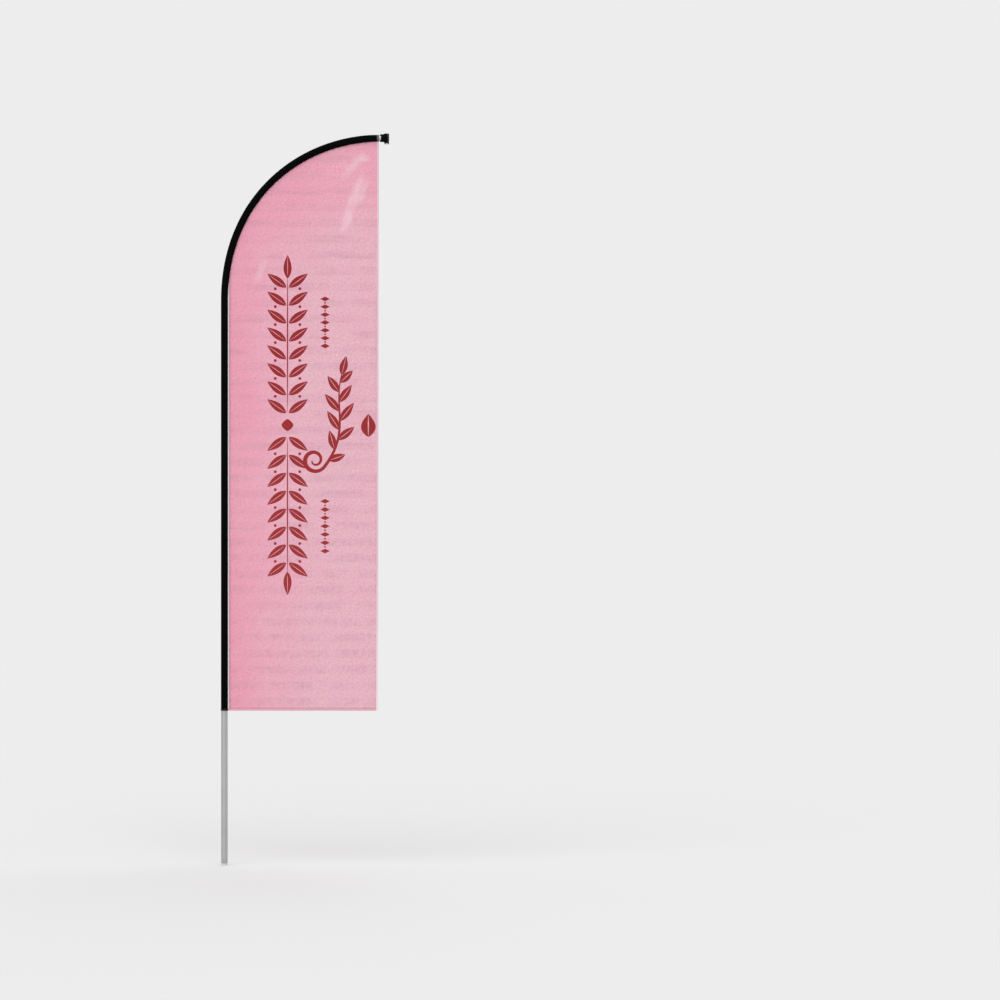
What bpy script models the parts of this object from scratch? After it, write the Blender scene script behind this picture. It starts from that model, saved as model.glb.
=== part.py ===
"""Feather flag on a three-piece pole that turns on a socket foot.

Metres, +Z up. The origin is the centre of the foot's lower face, on the pole's axis. +X points
towards the flag's free (fly) edge, and the flag lies in the plane y = 0. The pole is three tubes
joined by push-fit spigots. The top tube is bent over, and its level end carries a black cap. A
cloth sleeve wraps the pole from the flag's lower edge to just short of the cap.
"""

import math

import bmesh
import bpy
import numpy as np
from mathutils import Matrix, Vector

# Driving dimensions: the pole
POLE_DIAMETER = 0.025  # bottom and middle tubes
POLE_WALL = 0.0015
TOP_WALL = 0.0010  # the bent tube is thinner, round the same bore
BOTTOM_LENGTH = 0.9724
MIDDLE_LENGTH = 0.950  # from joint to joint
TOP_STRAIGHT = 0.229  # from the upper joint to the start of the bend
BEND_RISE = 0.621
BEND_REACH = 0.5955  # from the pole's axis to the cap's mouth
LOWER_HANDLE = 0.397  # how far the bend holds on to straight up
UPPER_HANDLE = 0.301  # how far it holds on to level
BARE_TIP = 0.0045  # tube that shows between the sleeve's end and the cap

# Push-fit joints
SPIGOT_ENGAGEMENT = 0.110  # what slides into the tube below
SPIGOT_GRIP = 0.060  # what is fixed in the tube above
SPIGOT_WALL = 0.0015
SPIGOT_NOSE = 0.003  # the closed lower end
SPIGOT_LEAD = 0.001  # chamfer that finds the tube below
SHOULDER_HEIGHT = 0.002  # the ring between the two tubes
PIN_DIAMETER = 0.003
PIN_HEIGHT = 0.035  # above the joint

# Swivel foot
SPINDLE_BORE = 0.0122  # takes the pin of a ground spike or a floor base
SPINDLE_DEPTH = 0.128
BARREL_WALL = 0.0019
BARREL_LENGTH = 0.150
COLLAR_HEIGHT = 0.006
COLLAR_STEP = 0.002  # how far the collar stands out from the barrel
COLLAR_TAPER = 0.0008
WASHER_THICKNESS = 0.001
BUSH_LENGTH = 0.020
CUP_SKIRT = 0.020  # how far the thrust cup reaches down the barrel
CUP_CEILING = 0.003
CIRCLIP_THICKNESS = 0.001
GROOVE_DEPTH = 0.0006
CIRCLIP_OPENING = 0.003

# Cap
CAP_WALL = 0.0027
CAP_BORE_DEPTH = 0.021
CAP_LENGTH = 0.0341
CAP_HEAD_STEP = 0.003  # how far the head stands out from the barrel
FLARE_START = 0.011
FLARE_END = 0.0185
RIM_LENGTH = 0.0076  # the end disc beyond the groove
RIM_GROOVE = 0.0008
NOTCH_DEPTH = 0.0036  # front and back of the mouth
NOTCH_HEIGHT = 0.023
LUG_LENGTH = 0.017
LUG_DROP = 0.005  # how far the lug hangs below the head
LUG_THICKNESS = 0.005
LUG_EYE_LENGTH = 0.0085
LUG_EYE_HEIGHT = 0.0024

# Flag
FLAG_HEIGHT = 2.203  # sleeve's mouth to the top of the sleeve
FLY_RAKE = 0.0035  # how much narrower the flag is at its lower edge
CLOTH = 0.0004  # sleeve wall
PANEL_THICKNESS = 0.001
HEM_WIDTH = 0.0076
HEM_THICKNESS = 0.0016
TAPE_WIDTH = 0.0039
TAPE_TAIL = 0.001  # what is left of its width where it runs out against the bend
TAPE_THICKNESS = 0.0014
BINDING_WIDTH = 0.0073  # at the tip
ELASTIC_THICKNESS = 0.0003
TIP_TAPER = 0.030  # length over which the sleeve narrows to the tube

# Clearances
GAP = 0.0003  # between pieces that touch
RUNNING_GAP = 0.0003  # between the barrel and what turns on it
SLEEVE_EASE = 0.0004  # between pole and sleeve

# Facets
SIDES = 24
BEND_STEPS = 24
CHAMFER = 0.0005

# Worked out from the above
POLE_RADIUS = POLE_DIAMETER / 2
POLE_BORE = POLE_RADIUS - POLE_WALL
TOP_RADIUS = POLE_BORE + TOP_WALL
SPIGOT_RADIUS = POLE_BORE - GAP
ABOVE_SHOULDER = SHOULDER_HEIGHT + 2 * GAP  # from a joint to the foot of the tube above it
SPINDLE_RADIUS = SPINDLE_BORE / 2
BARREL_RADIUS = SPINDLE_RADIUS + BARREL_WALL
BUSH_BORE = BARREL_RADIUS + RUNNING_GAP
BUSH_RADIUS = POLE_BORE - GAP
POLE_FOOT = COLLAR_HEIGHT + WASHER_THICKNESS + 2 * GAP
BUSH_TOP = POLE_FOOT + BUSH_LENGTH
LOWER_JOINT = POLE_FOOT + BOTTOM_LENGTH
UPPER_JOINT = LOWER_JOINT + MIDDLE_LENGTH
BEND_START = UPPER_JOINT + TOP_STRAIGHT
TIP_HEIGHT = BEND_START + BEND_RISE
SLEEVE_BORE = POLE_RADIUS + SLEEVE_EASE
SLEEVE_RADIUS = SLEEVE_BORE + CLOTH
TIP_SLEEVE_BORE = TOP_RADIUS + GAP
FLAG_FOOT = TIP_HEIGHT + SLEEVE_RADIUS - FLAG_HEIGHT
ELASTIC_BORE = POLE_RADIUS + GAP
MOUTH_BORE = ELASTIC_BORE + ELASTIC_THICKNESS + GAP
MOUTH_RADIUS = MOUTH_BORE + CLOTH
SEAM_OFFSET = SLEEVE_RADIUS + GAP
TAPE_EDGE = SEAM_OFFSET + TAPE_WIDTH
FLY_EDGE = BEND_REACH - BARE_TIP
HEM_TOP = FLAG_FOOT + HEM_WIDTH

DEPTH_AXIS = Vector((0.0, 1.0, 0.0))


# ---------------------------------------------------------------- the pole's centre line


def bend_at(t):
    """Point and direction at share t of the bend, a cubic that leaves straight up and ends level."""
    start = Vector((0.0, 0.0, BEND_START))
    end = Vector((BEND_REACH, 0.0, TIP_HEIGHT))
    rise = start + Vector((0.0, 0.0, LOWER_HANDLE))
    level = end - Vector((UPPER_HANDLE, 0.0, 0.0))
    u = 1.0 - t
    point = u**3 * start + 3 * u * u * t * rise + 3 * u * t * t * level + t**3 * end
    slope = u * u * (rise - start) + 2 * u * t * (level - rise) + t * t * (end - level)
    return point, slope.normalized()


# The distance travelled along the bend at each of many even shares of it.
SHARES = [step / 800 for step in range(801)]
WAYPOINTS = np.array([bend_at(share)[0] for share in SHARES])
TRAVEL = np.append(0.0, np.cumsum(np.linalg.norm(np.diff(WAYPOINTS, axis=0), axis=1)))
BEND_LENGTH = float(TRAVEL[-1])


def line_at(distance):
    """Point and direction on the centre line, measured from the start of the bend."""
    if distance < 0.0:
        return Vector((0.0, 0.0, BEND_START + distance)), Vector((0.0, 0.0, 1.0))
    if distance > BEND_LENGTH:
        beyond = distance - BEND_LENGTH
        return Vector((BEND_REACH + beyond, 0.0, TIP_HEIGHT)), Vector((1.0, 0.0, 0.0))
    return bend_at(float(np.interp(distance, TRAVEL, SHARES)))


def inner_side(direction):
    """Unit vector from the pole towards the flag."""
    return DEPTH_AXIS.cross(direction)


def seam_at(distance):
    """Where the flag meets the sleeve."""
    centre, direction = line_at(distance)
    return centre + SEAM_OFFSET * inner_side(direction)


def seam_reaches(x):
    """How far round the bend the seam has moved out to x."""
    return float(np.interp(x, [seam_at(distance).x for distance in TRAVEL], TRAVEL))


SLEEVE_START = HEM_TOP - BEND_START
BINDING_END = BEND_LENGTH - BARE_TIP
BINDING_START = BINDING_END - BINDING_WIDTH
SLEEVE_END = BINDING_START - GAP
TAPER_START = SLEEVE_END - TIP_TAPER
SEAM_END = BEND_LENGTH - BARE_TIP - HEM_WIDTH - 2 * GAP  # clear of the hem on the free edge
TAPE_END = seam_reaches(TAPE_EDGE - TAPE_TAIL)
PANEL_MEETS_SLEEVE = seam_reaches(TAPE_EDGE + GAP)
TUBE_END = BEND_LENGTH + CAP_BORE_DEPTH - GAP

# Every swept piece turns at the same places, so that the gaps between them stay even.
REGULAR = [BEND_LENGTH * step / BEND_STEPS for step in range(BEND_STEPS + 1)]
ENDS = [TAPER_START, SEAM_END, SLEEVE_END, BINDING_START, BINDING_END]
TURNS = sorted({*REGULAR, *ENDS, TAPE_END, PANEL_MEETS_SLEEVE})


def stations(start, end):
    """Distances along the centre line, from start to end, at which a swept piece turns."""
    return [start] + [turn for turn in TURNS if start < turn < end] + [end]


# ---------------------------------------------------------------- materials and objects


def material(name, colour, roughness, metallic=0.0):
    """A Principled material from an sRGB hex colour."""
    made = bpy.data.materials.new(name)
    made.use_nodes = True
    shader = made.node_tree.nodes["Principled BSDF"]
    channels = [int(colour[i : i + 2], 16) / 255 for i in (1, 3, 5)]
    linear = [c / 12.92 if c <= 0.04045 else ((c + 0.055) / 1.055) ** 2.4 for c in channels]
    shader.inputs["Base Color"].default_value = (*linear, 1.0)
    shader.inputs["Roughness"].default_value = roughness
    shader.inputs["Metallic"].default_value = metallic
    made.diffuse_color = (*linear, 1.0)
    return made


def pivot(name, height, parent=None):
    """An empty on the pole's axis that carries the pieces of one moving body."""
    empty = bpy.data.objects.new(name, None)
    empty.empty_display_size = 0.05
    bpy.context.scene.collection.objects.link(empty)
    empty.location = (0.0, 0.0, height)
    if parent:
        keep_place(empty, parent)
    return empty


def keep_place(child, parent):
    bpy.context.view_layer.update()
    child.parent = parent
    child.matrix_parent_inverse = parent.matrix_world.inverted()


def finish(bm, name, look, parent):
    """Turns a bmesh into a shaded object with its faces pointing out."""
    bmesh.ops.remove_doubles(bm, verts=bm.verts, dist=1e-6)
    bmesh.ops.recalc_face_normals(bm, faces=bm.faces)
    mesh = bpy.data.meshes.new(name)
    bm.to_mesh(mesh)
    bm.free()
    mesh.shade_smooth()
    mesh.set_sharp_from_angle(angle=math.radians(35))
    mesh.materials.append(look)
    made = bpy.data.objects.new(name, mesh)
    bpy.context.scene.collection.objects.link(made)
    keep_place(made, parent)
    return made


def boolean(target, operation, tool):
    """Cuts or joins a helper, which stays in the scene as a wire and isn't rendered."""
    change = target.modifiers.new(f"{operation} {tool.name}", "BOOLEAN")
    change.object = tool
    change.operation = operation
    change.solver = "EXACT"
    tool.hide_render = True
    tool.display_type = "WIRE"


# ---------------------------------------------------------------- shapes


def turned(name, profile, look, parent, closed=True, frame=None):
    """Spins a profile of (radius, height) points about Z. An open one starts and ends on the axis.

    frame turns the result so that its Z lies elsewhere.
    """
    bm = bmesh.new()
    points = [bm.verts.new((radius, 0.0, height)) for radius, height in profile]
    for first, second in zip(points, points[1:] + points[:1] * closed):
        bm.edges.new((first, second))
    bmesh.ops.spin(
        bm,
        geom=bm.verts[:] + bm.edges[:],
        cent=(0.0, 0.0, 0.0),
        axis=(0.0, 0.0, 1.0),
        angle=math.tau,
        steps=SIDES,
        use_merge=True,
    )
    if frame:
        bmesh.ops.transform(bm, matrix=frame, verts=bm.verts)
    return finish(bm, name, look, parent)


def ring(name, low, high, bore, outer, look, parent):
    """A plain turned ring about the pole's axis."""
    corners = [(bore, low), (outer, low), (outer, high), (bore, high)]
    return turned(name, corners, look, parent)


def circle_across(bm, distance, radius):
    """The points of a circle square to the centre line, in order."""
    centre, direction = line_at(distance)
    side = inner_side(direction)
    across = Matrix((side, DEPTH_AXIS, side.cross(DEPTH_AXIS))).transposed()
    place = Matrix.Translation(centre) @ across.to_4x4()
    return bmesh.ops.create_circle(bm, radius=radius, segments=SIDES, matrix=place)["verts"]


def swept(name, start, end, bore_at, outer_at, look, parent):
    """A tube wall along the centre line. bore_at and outer_at give its radii at a distance."""
    bm = bmesh.new()
    places = stations(start, end)
    outside = [circle_across(bm, place, outer_at(place)) for place in places]
    inside = [circle_across(bm, place, bore_at(place)) for place in places]
    loops = outside + inside[::-1]
    for loop, following in zip(loops, loops[1:] + loops[:1]):
        for side in range(SIDES):
            before = side - 1
            bm.faces.new((loop[before], loop[side], following[side], following[before]))
    return finish(bm, name, look, parent)


def block(name, low, high, parent, look=None):
    """A box from its lowest to its highest corner."""
    size = Vector(high) - Vector(low)
    centre = (Vector(high) + Vector(low)) / 2
    bm = bmesh.new()
    place = Matrix.Translation(centre) @ Matrix.Diagonal(size).to_4x4()
    bmesh.ops.create_cube(bm, size=1.0, matrix=place)
    return finish(bm, name, look, parent)


def rod_across(name, height, radius, half_length, parent, look=None):
    """A rod that crosses the pole's axis from front to back."""
    bm = bmesh.new()
    place = Matrix.Translation((0.0, 0.0, height)) @ Matrix.Rotation(math.pi / 2, 4, "X")
    bmesh.ops.create_cone(
        bm,
        cap_ends=True,
        segments=SIDES // 2,
        radius1=radius,
        radius2=radius,
        depth=2 * half_length,
        matrix=place,
    )
    return finish(bm, name, look, parent)


def flat(name, outline, thickness, look, parent):
    """A flat piece in the flag's plane, from an outline of (x, z) points."""
    bm = bmesh.new()
    corners = [bm.verts.new((x, -thickness / 2, z)) for x, z in outline]
    face = bm.faces.new(corners)
    raised = bmesh.ops.extrude_face_region(bm, geom=[face])["geom"]
    verts = [item for item in raised if isinstance(item, bmesh.types.BMVert)]
    bmesh.ops.translate(bm, verts=verts, vec=(0.0, thickness, 0.0))
    return finish(bm, name, look, parent)


def seam_line(start, end):
    """(x, z) points of the seam from start to end."""
    return [(seam_at(place).x, seam_at(place).z) for place in stations(start, end)]


def fly_line(height, inset):
    """x of the free edge at a height, less inset. The edge leans in towards its foot."""
    share = (TIP_HEIGHT - height) / (TIP_HEIGHT - FLAG_FOOT)
    return FLY_EDGE - FLY_RAKE * share - inset


# ---------------------------------------------------------------- the assembly


def swivel_foot(parent):
    """The socket that stays still, its washer, and the ring that stops the pole lifting off."""
    alloy = material("foot_alloy", "#C6C6C6", 0.38, 1.0)
    collar = BARREL_RADIUS + COLLAR_STEP
    groove = BARREL_RADIUS - GROOVE_DEPTH
    clip_low = BUSH_TOP + GAP
    clip_high = clip_low + CIRCLIP_THICKNESS
    profile = [
        (0.0, SPINDLE_DEPTH),
        (SPINDLE_RADIUS, SPINDLE_DEPTH),
        (SPINDLE_RADIUS, 0.0),
        (collar, 0.0),
        (collar - COLLAR_TAPER, COLLAR_HEIGHT),
        (BARREL_RADIUS, COLLAR_HEIGHT),
        (BARREL_RADIUS, clip_low - GAP),
        (groove, clip_low - GAP),
        (groove, clip_high + GAP),
        (BARREL_RADIUS, clip_high + GAP),
        (BARREL_RADIUS, BARREL_LENGTH - 2 * CHAMFER),
        (BARREL_RADIUS - 2 * CHAMFER, BARREL_LENGTH),
        (0.0, BARREL_LENGTH),
    ]
    turned("foot_socket", profile, alloy, parent, closed=False)

    nylon = material("foot_washer_nylon", "#D8D8D2", 0.45)
    low = COLLAR_HEIGHT + GAP
    ring("foot_washer", low, low + WASHER_THICKNESS, BUSH_BORE, collar, nylon, parent)

    steel = material("circlip_steel", "#4A4A4C", 0.35, 1.0)
    reach = (BUSH_BORE + POLE_BORE) / 2
    clip = ring("foot_circlip", clip_low, clip_high, groove + GAP, reach, steel, parent)
    half = CIRCLIP_OPENING / 2
    opening = block(
        "circlip_opening_cutter",
        (0.0, -half, clip_low - GAP),
        (POLE_RADIUS, half, clip_high + GAP),
        parent,
    )
    boolean(clip, "DIFFERENCE", opening)


def bottom_section(parent):
    """The lowest tube, with the bush and the closed cup that turn on the barrel."""
    anodised = material("bottom_tube_aluminium", "#ADADAD", 0.42, 1.0)
    ring("bottom_tube", POLE_FOOT, LOWER_JOINT, POLE_BORE, POLE_RADIUS, anodised, parent)
    nylon = material("bush_nylon", "#E4E2DA", 0.5)
    ring("bearing_bush", POLE_FOOT, BUSH_TOP, BUSH_BORE, BUSH_RADIUS, nylon, parent)
    acetal = material("cup_acetal", "#E8E8E4", 0.4)
    seat = BARREL_LENGTH + GAP
    profile = [
        (0.0, seat),
        (BUSH_BORE, seat),
        (BUSH_BORE, BARREL_LENGTH - CUP_SKIRT),
        (BUSH_RADIUS, BARREL_LENGTH - CUP_SKIRT),
        (BUSH_RADIUS, seat + CUP_CEILING),
        (0.0, seat + CUP_CEILING),
    ]
    turned("thrust_cup", profile, acetal, parent, closed=False)


def spigot(level, joint, tube, tube_radius, parent):
    """The blind plug fixed in a tube's lower end, with a shoulder, and the pin that holds it there."""
    alloy = material(f"{level}_spigot_alloy", "#B9BABC", 0.3, 1.0)
    low = joint - SPIGOT_ENGAGEMENT
    high = joint + SPIGOT_GRIP
    bore = SPIGOT_RADIUS - SPIGOT_WALL
    seat = joint + GAP
    profile = [
        (0.0, low + SPIGOT_NOSE),
        (bore, low + SPIGOT_NOSE),
        (bore, high),
        (SPIGOT_RADIUS, high),
        (SPIGOT_RADIUS, seat + SHOULDER_HEIGHT),
        (tube_radius, seat + SHOULDER_HEIGHT),
        (tube_radius, seat),
        (SPIGOT_RADIUS, seat),
        (SPIGOT_RADIUS, low + SPIGOT_LEAD),
        (SPIGOT_RADIUS - SPIGOT_LEAD, low),
        (0.0, low),
    ]
    plug = turned(f"{level}_spigot", profile, alloy, parent, closed=False)
    height = joint + PIN_HEIGHT
    hole = rod_across(f"{level}_pin_cutter", height, PIN_DIAMETER / 2 + GAP, POLE_DIAMETER, parent)
    for drilled in (tube, plug):
        boolean(drilled, "DIFFERENCE", hole)
    steel = material(f"{level}_pin_steel", "#8C8D90", 0.3, 1.0)
    reach = tube_radius - GAP
    rod_across(f"{level}_spigot_pin", height, PIN_DIAMETER / 2, reach, parent, steel)


def middle_section(parent):
    anodised = material("middle_tube_aluminium", "#ADADAD", 0.42, 1.0)
    low = LOWER_JOINT + ABOVE_SHOULDER
    tube = ring("middle_tube", low, UPPER_JOINT, POLE_BORE, POLE_RADIUS, anodised, parent)
    spigot("lower", LOWER_JOINT, tube, POLE_RADIUS, parent)


def top_section(parent):
    """The bent tube, its spigot and the cap on its end."""
    anodised = material("top_tube_aluminium", "#ADADAD", 0.42, 1.0)
    start = UPPER_JOINT + ABOVE_SHOULDER - BEND_START
    tube = swept(
        "top_tube",
        start,
        TUBE_END,
        lambda distance: POLE_BORE,
        lambda distance: TOP_RADIUS,
        anodised,
        parent,
    )
    spigot("upper", UPPER_JOINT, tube, TOP_RADIUS, parent)
    tip_cap(parent)


def tip_cap(parent):
    """Moulded cap: a barrel over the tube, a flared head, an end disc and an eyed lug below."""
    black = material("cap_black_plastic", "#141414", 0.45)
    bore = TOP_RADIUS + GAP
    barrel = bore + CAP_WALL
    head = barrel + CAP_HEAD_STEP
    groove = CAP_LENGTH - RIM_LENGTH
    profile = [
        (0.0, CAP_BORE_DEPTH),
        (bore, CAP_BORE_DEPTH),
        (bore, 0.0),
        (barrel - CHAMFER, 0.0),
        (barrel, CHAMFER),
        (barrel, FLARE_START),
        (head, FLARE_END),
        (head, groove),
        (head - RIM_GROOVE, groove),
        (head - RIM_GROOVE, groove + RIM_GROOVE),
        (head, groove + RIM_GROOVE),
        (head, CAP_LENGTH - CHAMFER),
        (head - CHAMFER, CAP_LENGTH),
        (0.0, CAP_LENGTH),
    ]
    mouth = Matrix.Translation((BEND_REACH, 0.0, TIP_HEIGHT))
    level = mouth @ Matrix.Rotation(math.pi / 2, 4, "Y")
    cap = turned("tip_cap", profile, black, parent, closed=False, frame=level)

    lug_low = TIP_HEIGHT - head - LUG_DROP
    lug_end = BEND_REACH + CAP_LENGTH - CHAMFER
    half = LUG_THICKNESS / 2
    lug = block(
        "cap_lug",
        (lug_end - LUG_LENGTH, -half, lug_low),
        (lug_end, half, TIP_HEIGHT - barrel),
        parent,
    )
    boolean(cap, "UNION", lug)
    eye_middle = lug_end - LUG_LENGTH / 2
    eye_low = lug_low + (LUG_DROP - LUG_EYE_HEIGHT) / 2
    eye = block(
        "cap_eye_cutter",
        (eye_middle - LUG_EYE_LENGTH / 2, -LUG_THICKNESS, eye_low),
        (eye_middle + LUG_EYE_LENGTH / 2, LUG_THICKNESS, eye_low + LUG_EYE_HEIGHT),
        parent,
    )
    boolean(cap, "DIFFERENCE", eye)
    notch = block(
        "cap_notch_cutter",
        (BEND_REACH - NOTCH_DEPTH, -2 * head, TIP_HEIGHT - NOTCH_HEIGHT / 2),
        (BEND_REACH + NOTCH_DEPTH, 2 * head, TIP_HEIGHT + NOTCH_HEIGHT / 2),
        parent,
    )
    boolean(cap, "DIFFERENCE", notch)


def sleeve(parent):
    """The cloth tube round the pole, bound at both ends, with an elastic band in its mouth.

    The mouth's binding and band are as deep as the flag's lower hem, less a gap.
    """
    black = material("sleeve_black_cloth", "#0A0A0A", 0.85)

    def narrowing(distance):
        """0 along the sleeve, rising to 1 where it closes on the tube near the tip."""
        return min(max((distance - TAPER_START) / TIP_TAPER, 0.0), 1.0)

    def bore_at(distance):
        return SLEEVE_BORE + narrowing(distance) * (TIP_SLEEVE_BORE - SLEEVE_BORE)

    def outer_at(distance):
        return bore_at(distance) + CLOTH

    swept("pole_sleeve", SLEEVE_START, SLEEVE_END, bore_at, outer_at, black, parent)

    grey = material("tip_binding_cloth", "#3A3A3A", 0.7)
    swept("sleeve_tip_binding", BINDING_START, BINDING_END, bore_at, outer_at, grey, parent)

    dark = material("mouth_binding_cloth", "#181818", 0.8)
    high = HEM_TOP - GAP
    ring("sleeve_mouth_binding", FLAG_FOOT, high, MOUTH_BORE, MOUTH_RADIUS, dark, parent)
    rubber = material("mouth_elastic_rubber", "#202022", 0.9)
    outer = ELASTIC_BORE + ELASTIC_THICKNESS
    ring("mouth_elastic", FLAG_FOOT, high, ELASTIC_BORE, outer, rubber, parent)


def flag(parent):
    """The printed panel with the tape that joins it to the sleeve, and its two hems."""
    pale = material("seam_tape_white", "#C9C4C4", 0.8)
    low = HEM_TOP + GAP
    near = seam_line(low - BEND_START, TAPE_END)
    far = [(TAPE_EDGE, near[-1][1]), (TAPE_EDGE, low)]
    flat("seam_tape", near + far, TAPE_THICKNESS, pale, parent)

    pink = material("panel_pink_polyester", "#E3AEBC", 0.75)
    inset = HEM_WIDTH + GAP
    bowed = seam_line(PANEL_MEETS_SLEEVE, SEAM_END)
    outline = [(TAPE_EDGE + GAP, low), *bowed, (fly_line(low, inset), low)]
    flat("flag_panel", outline, PANEL_THICKNESS, pink, parent)

    tape = material("fly_hem_tape", "#EAD3DA", 0.8)
    hem_high = TIP_HEIGHT - TIP_SLEEVE_BORE - CLOTH - GAP
    fly = [
        (fly_line(FLAG_FOOT, HEM_WIDTH), FLAG_FOOT),
        (fly_line(FLAG_FOOT, 0.0), FLAG_FOOT),
        (fly_line(hem_high, 0.0), hem_high),
        (fly_line(hem_high, HEM_WIDTH), hem_high),
    ]
    flat("fly_hem", fly, HEM_THICKNESS, tape, parent)

    hem = material("bottom_hem_tape", "#E0AAB8", 0.8)
    left = MOUTH_RADIUS + GAP
    lower = [
        (left, FLAG_FOOT),
        (fly_line(FLAG_FOOT, inset), FLAG_FOOT),
        (fly_line(HEM_TOP, inset), HEM_TOP),
        (left, HEM_TOP),
    ]
    flat("bottom_hem", lower, HEM_THICKNESS, hem, parent)


def main():
    for thing in list(bpy.data.objects):
        bpy.data.objects.remove(thing, do_unlink=True)
    foot = pivot("foot", 0.0)
    turning = pivot("foot_swivel", POLE_FOOT, foot)
    middle = pivot("middle_lift", LOWER_JOINT, turning)
    top = pivot("top_lift", UPPER_JOINT, middle)
    swivel_foot(foot)
    bottom_section(turning)
    middle_section(middle)
    top_section(top)
    sleeve(top)
    flag(top)


main()
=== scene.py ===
# %% [markdown]
# # Dressing a feather flag
#
# A feather flag is a tall strip of printed cloth. A black cloth sleeve along one edge slides over
# a thin pole that is bent over at the top. The CAD model already has every part at its real size
# and place. Here each part that shows gets a finer surface and the finish of its real material.
#
# The CAD model is loaded first, as a frame that never moves. Its boxes give the sizes below.

# %% Load the CAD model
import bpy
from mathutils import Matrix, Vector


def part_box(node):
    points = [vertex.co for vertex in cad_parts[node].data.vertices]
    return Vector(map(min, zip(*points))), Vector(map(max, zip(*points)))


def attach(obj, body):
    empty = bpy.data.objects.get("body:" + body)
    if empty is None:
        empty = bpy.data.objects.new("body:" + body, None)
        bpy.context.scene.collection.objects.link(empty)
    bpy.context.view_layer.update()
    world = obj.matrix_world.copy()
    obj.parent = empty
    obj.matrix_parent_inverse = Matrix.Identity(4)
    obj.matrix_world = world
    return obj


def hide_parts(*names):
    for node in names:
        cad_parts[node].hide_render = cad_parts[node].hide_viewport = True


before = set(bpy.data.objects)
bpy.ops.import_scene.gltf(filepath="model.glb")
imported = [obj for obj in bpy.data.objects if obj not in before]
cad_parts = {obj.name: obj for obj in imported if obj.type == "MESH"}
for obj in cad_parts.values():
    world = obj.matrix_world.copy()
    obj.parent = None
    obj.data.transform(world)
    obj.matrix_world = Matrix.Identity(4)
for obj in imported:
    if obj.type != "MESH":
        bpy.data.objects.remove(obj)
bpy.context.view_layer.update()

# %% [markdown]
# ## Sizes
#
# Lengths are in metres and Z points up. The pole stands on the origin, and the flag reaches
# towards +X in the plane y = 0. Whatever can be measured on the CAD model is measured there. The
# bend is a cubic curve, so its two handles are the only numbers that a box can't give.

# %% Measure the CAD model
import math

import bmesh
import bpy
import numpy as np
from mathutils import Matrix, Vector, geometry

MM = 0.001
BEND_RISE = 0.621
LOWER_HANDLE = 0.397  # how far the bend holds on to straight up
UPPER_HANDLE = 0.301  # how far it holds on to level

POLE_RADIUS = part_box("bottom_tube")[1].y
TOP_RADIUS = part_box("top_tube")[1].y
CAP_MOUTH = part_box("tip_cap")[0].x
TIP_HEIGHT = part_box("top_tube")[1].z - TOP_RADIUS
BEND_START = TIP_HEIGHT - BEND_RISE
SLEEVE_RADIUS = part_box("pole_sleeve")[1].y
FLAG_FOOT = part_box("bottom_hem")[0].z
HEM_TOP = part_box("bottom_hem")[1].z
HEM_WIDTH = HEM_TOP - FLAG_FOOT
HEM_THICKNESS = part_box("bottom_hem")[1].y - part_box("bottom_hem")[0].y
TAPE_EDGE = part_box("seam_tape")[1].x
TAPE_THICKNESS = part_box("seam_tape")[1].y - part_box("seam_tape")[0].y
CLOTH = 0.5 * MM  # panel cloth
print(f"pole {2 * POLE_RADIUS / MM:.1f} mm, hem {HEM_WIDTH / MM:.1f} mm, tip {TIP_HEIGHT:.3f} m up")

# %% [markdown]
# ## The pole's centre line
#
# The sleeve, the tubes and the seam all follow one line: straight up, then round the bend, then
# level. A distance along it is measured from the start of the bend, so that a place on the
# straight stretch has a negative distance. Walking the curve in small steps gives the table that
# turns a distance into a point.

# %% Centre line
CORNERS = np.array(
    [
        (0.0, BEND_START),
        (0.0, BEND_START + LOWER_HANDLE),
        (CAP_MOUTH - UPPER_HANDLE, TIP_HEIGHT),
        (CAP_MOUTH, TIP_HEIGHT),
    ]
)


def bend(share):
    """(x, z) points and unit directions at shares 0 to 1 of the bend."""
    t = np.asarray(share, float)[..., None]
    u = 1 - t
    a, b, c, d = CORNERS
    point = u**3 * a + 3 * u * u * t * b + 3 * u * t * t * c + t**3 * d
    slope = u * u * (b - a) + 2 * u * t * (c - b) + t * t * (d - c)
    return point, slope / np.linalg.norm(slope, axis=-1, keepdims=True)


SHARES = np.linspace(0, 1, 2001)
STEPS = np.linalg.norm(np.diff(bend(SHARES)[0], axis=0), axis=1)
TRAVEL = np.append(0.0, np.cumsum(STEPS))
BEND_LENGTH = TRAVEL[-1]


def centre_line(distance):
    """(x, z) points and unit directions at distances from the start of the bend."""
    distance = np.asarray(distance, float)
    point, direction = bend(np.interp(distance, TRAVEL, SHARES))
    below = np.minimum(distance, 0.0)
    beyond = np.maximum(distance - BEND_LENGTH, 0.0)
    return point + np.stack([beyond, below], axis=-1), direction


def beside_line(distance, offset):
    """(x, z) points a given offset from the centre line, on the flag's side of it."""
    point, direction = centre_line(distance)
    flagward = np.stack([direction[..., 1], -direction[..., 0]], axis=-1)
    return point + offset * flagward


SLEEVE_START = HEM_TOP - BEND_START
print(f"the bend is {BEND_LENGTH:.3f} m long")

# %% [markdown]
# ## Helpers for materials
#
# Every finish below starts from a hex colour as a colour picker shows it, which is sRGB. Blender
# mixes light in linear values, so `linear` converts. `add` adds a node with its settings and its
# links, in and out, in one call, which keeps a material short enough to read. Hard materials all
# end the same way, with a worn roughness and a fine relief, so `worn_relief` adds both.

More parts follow.
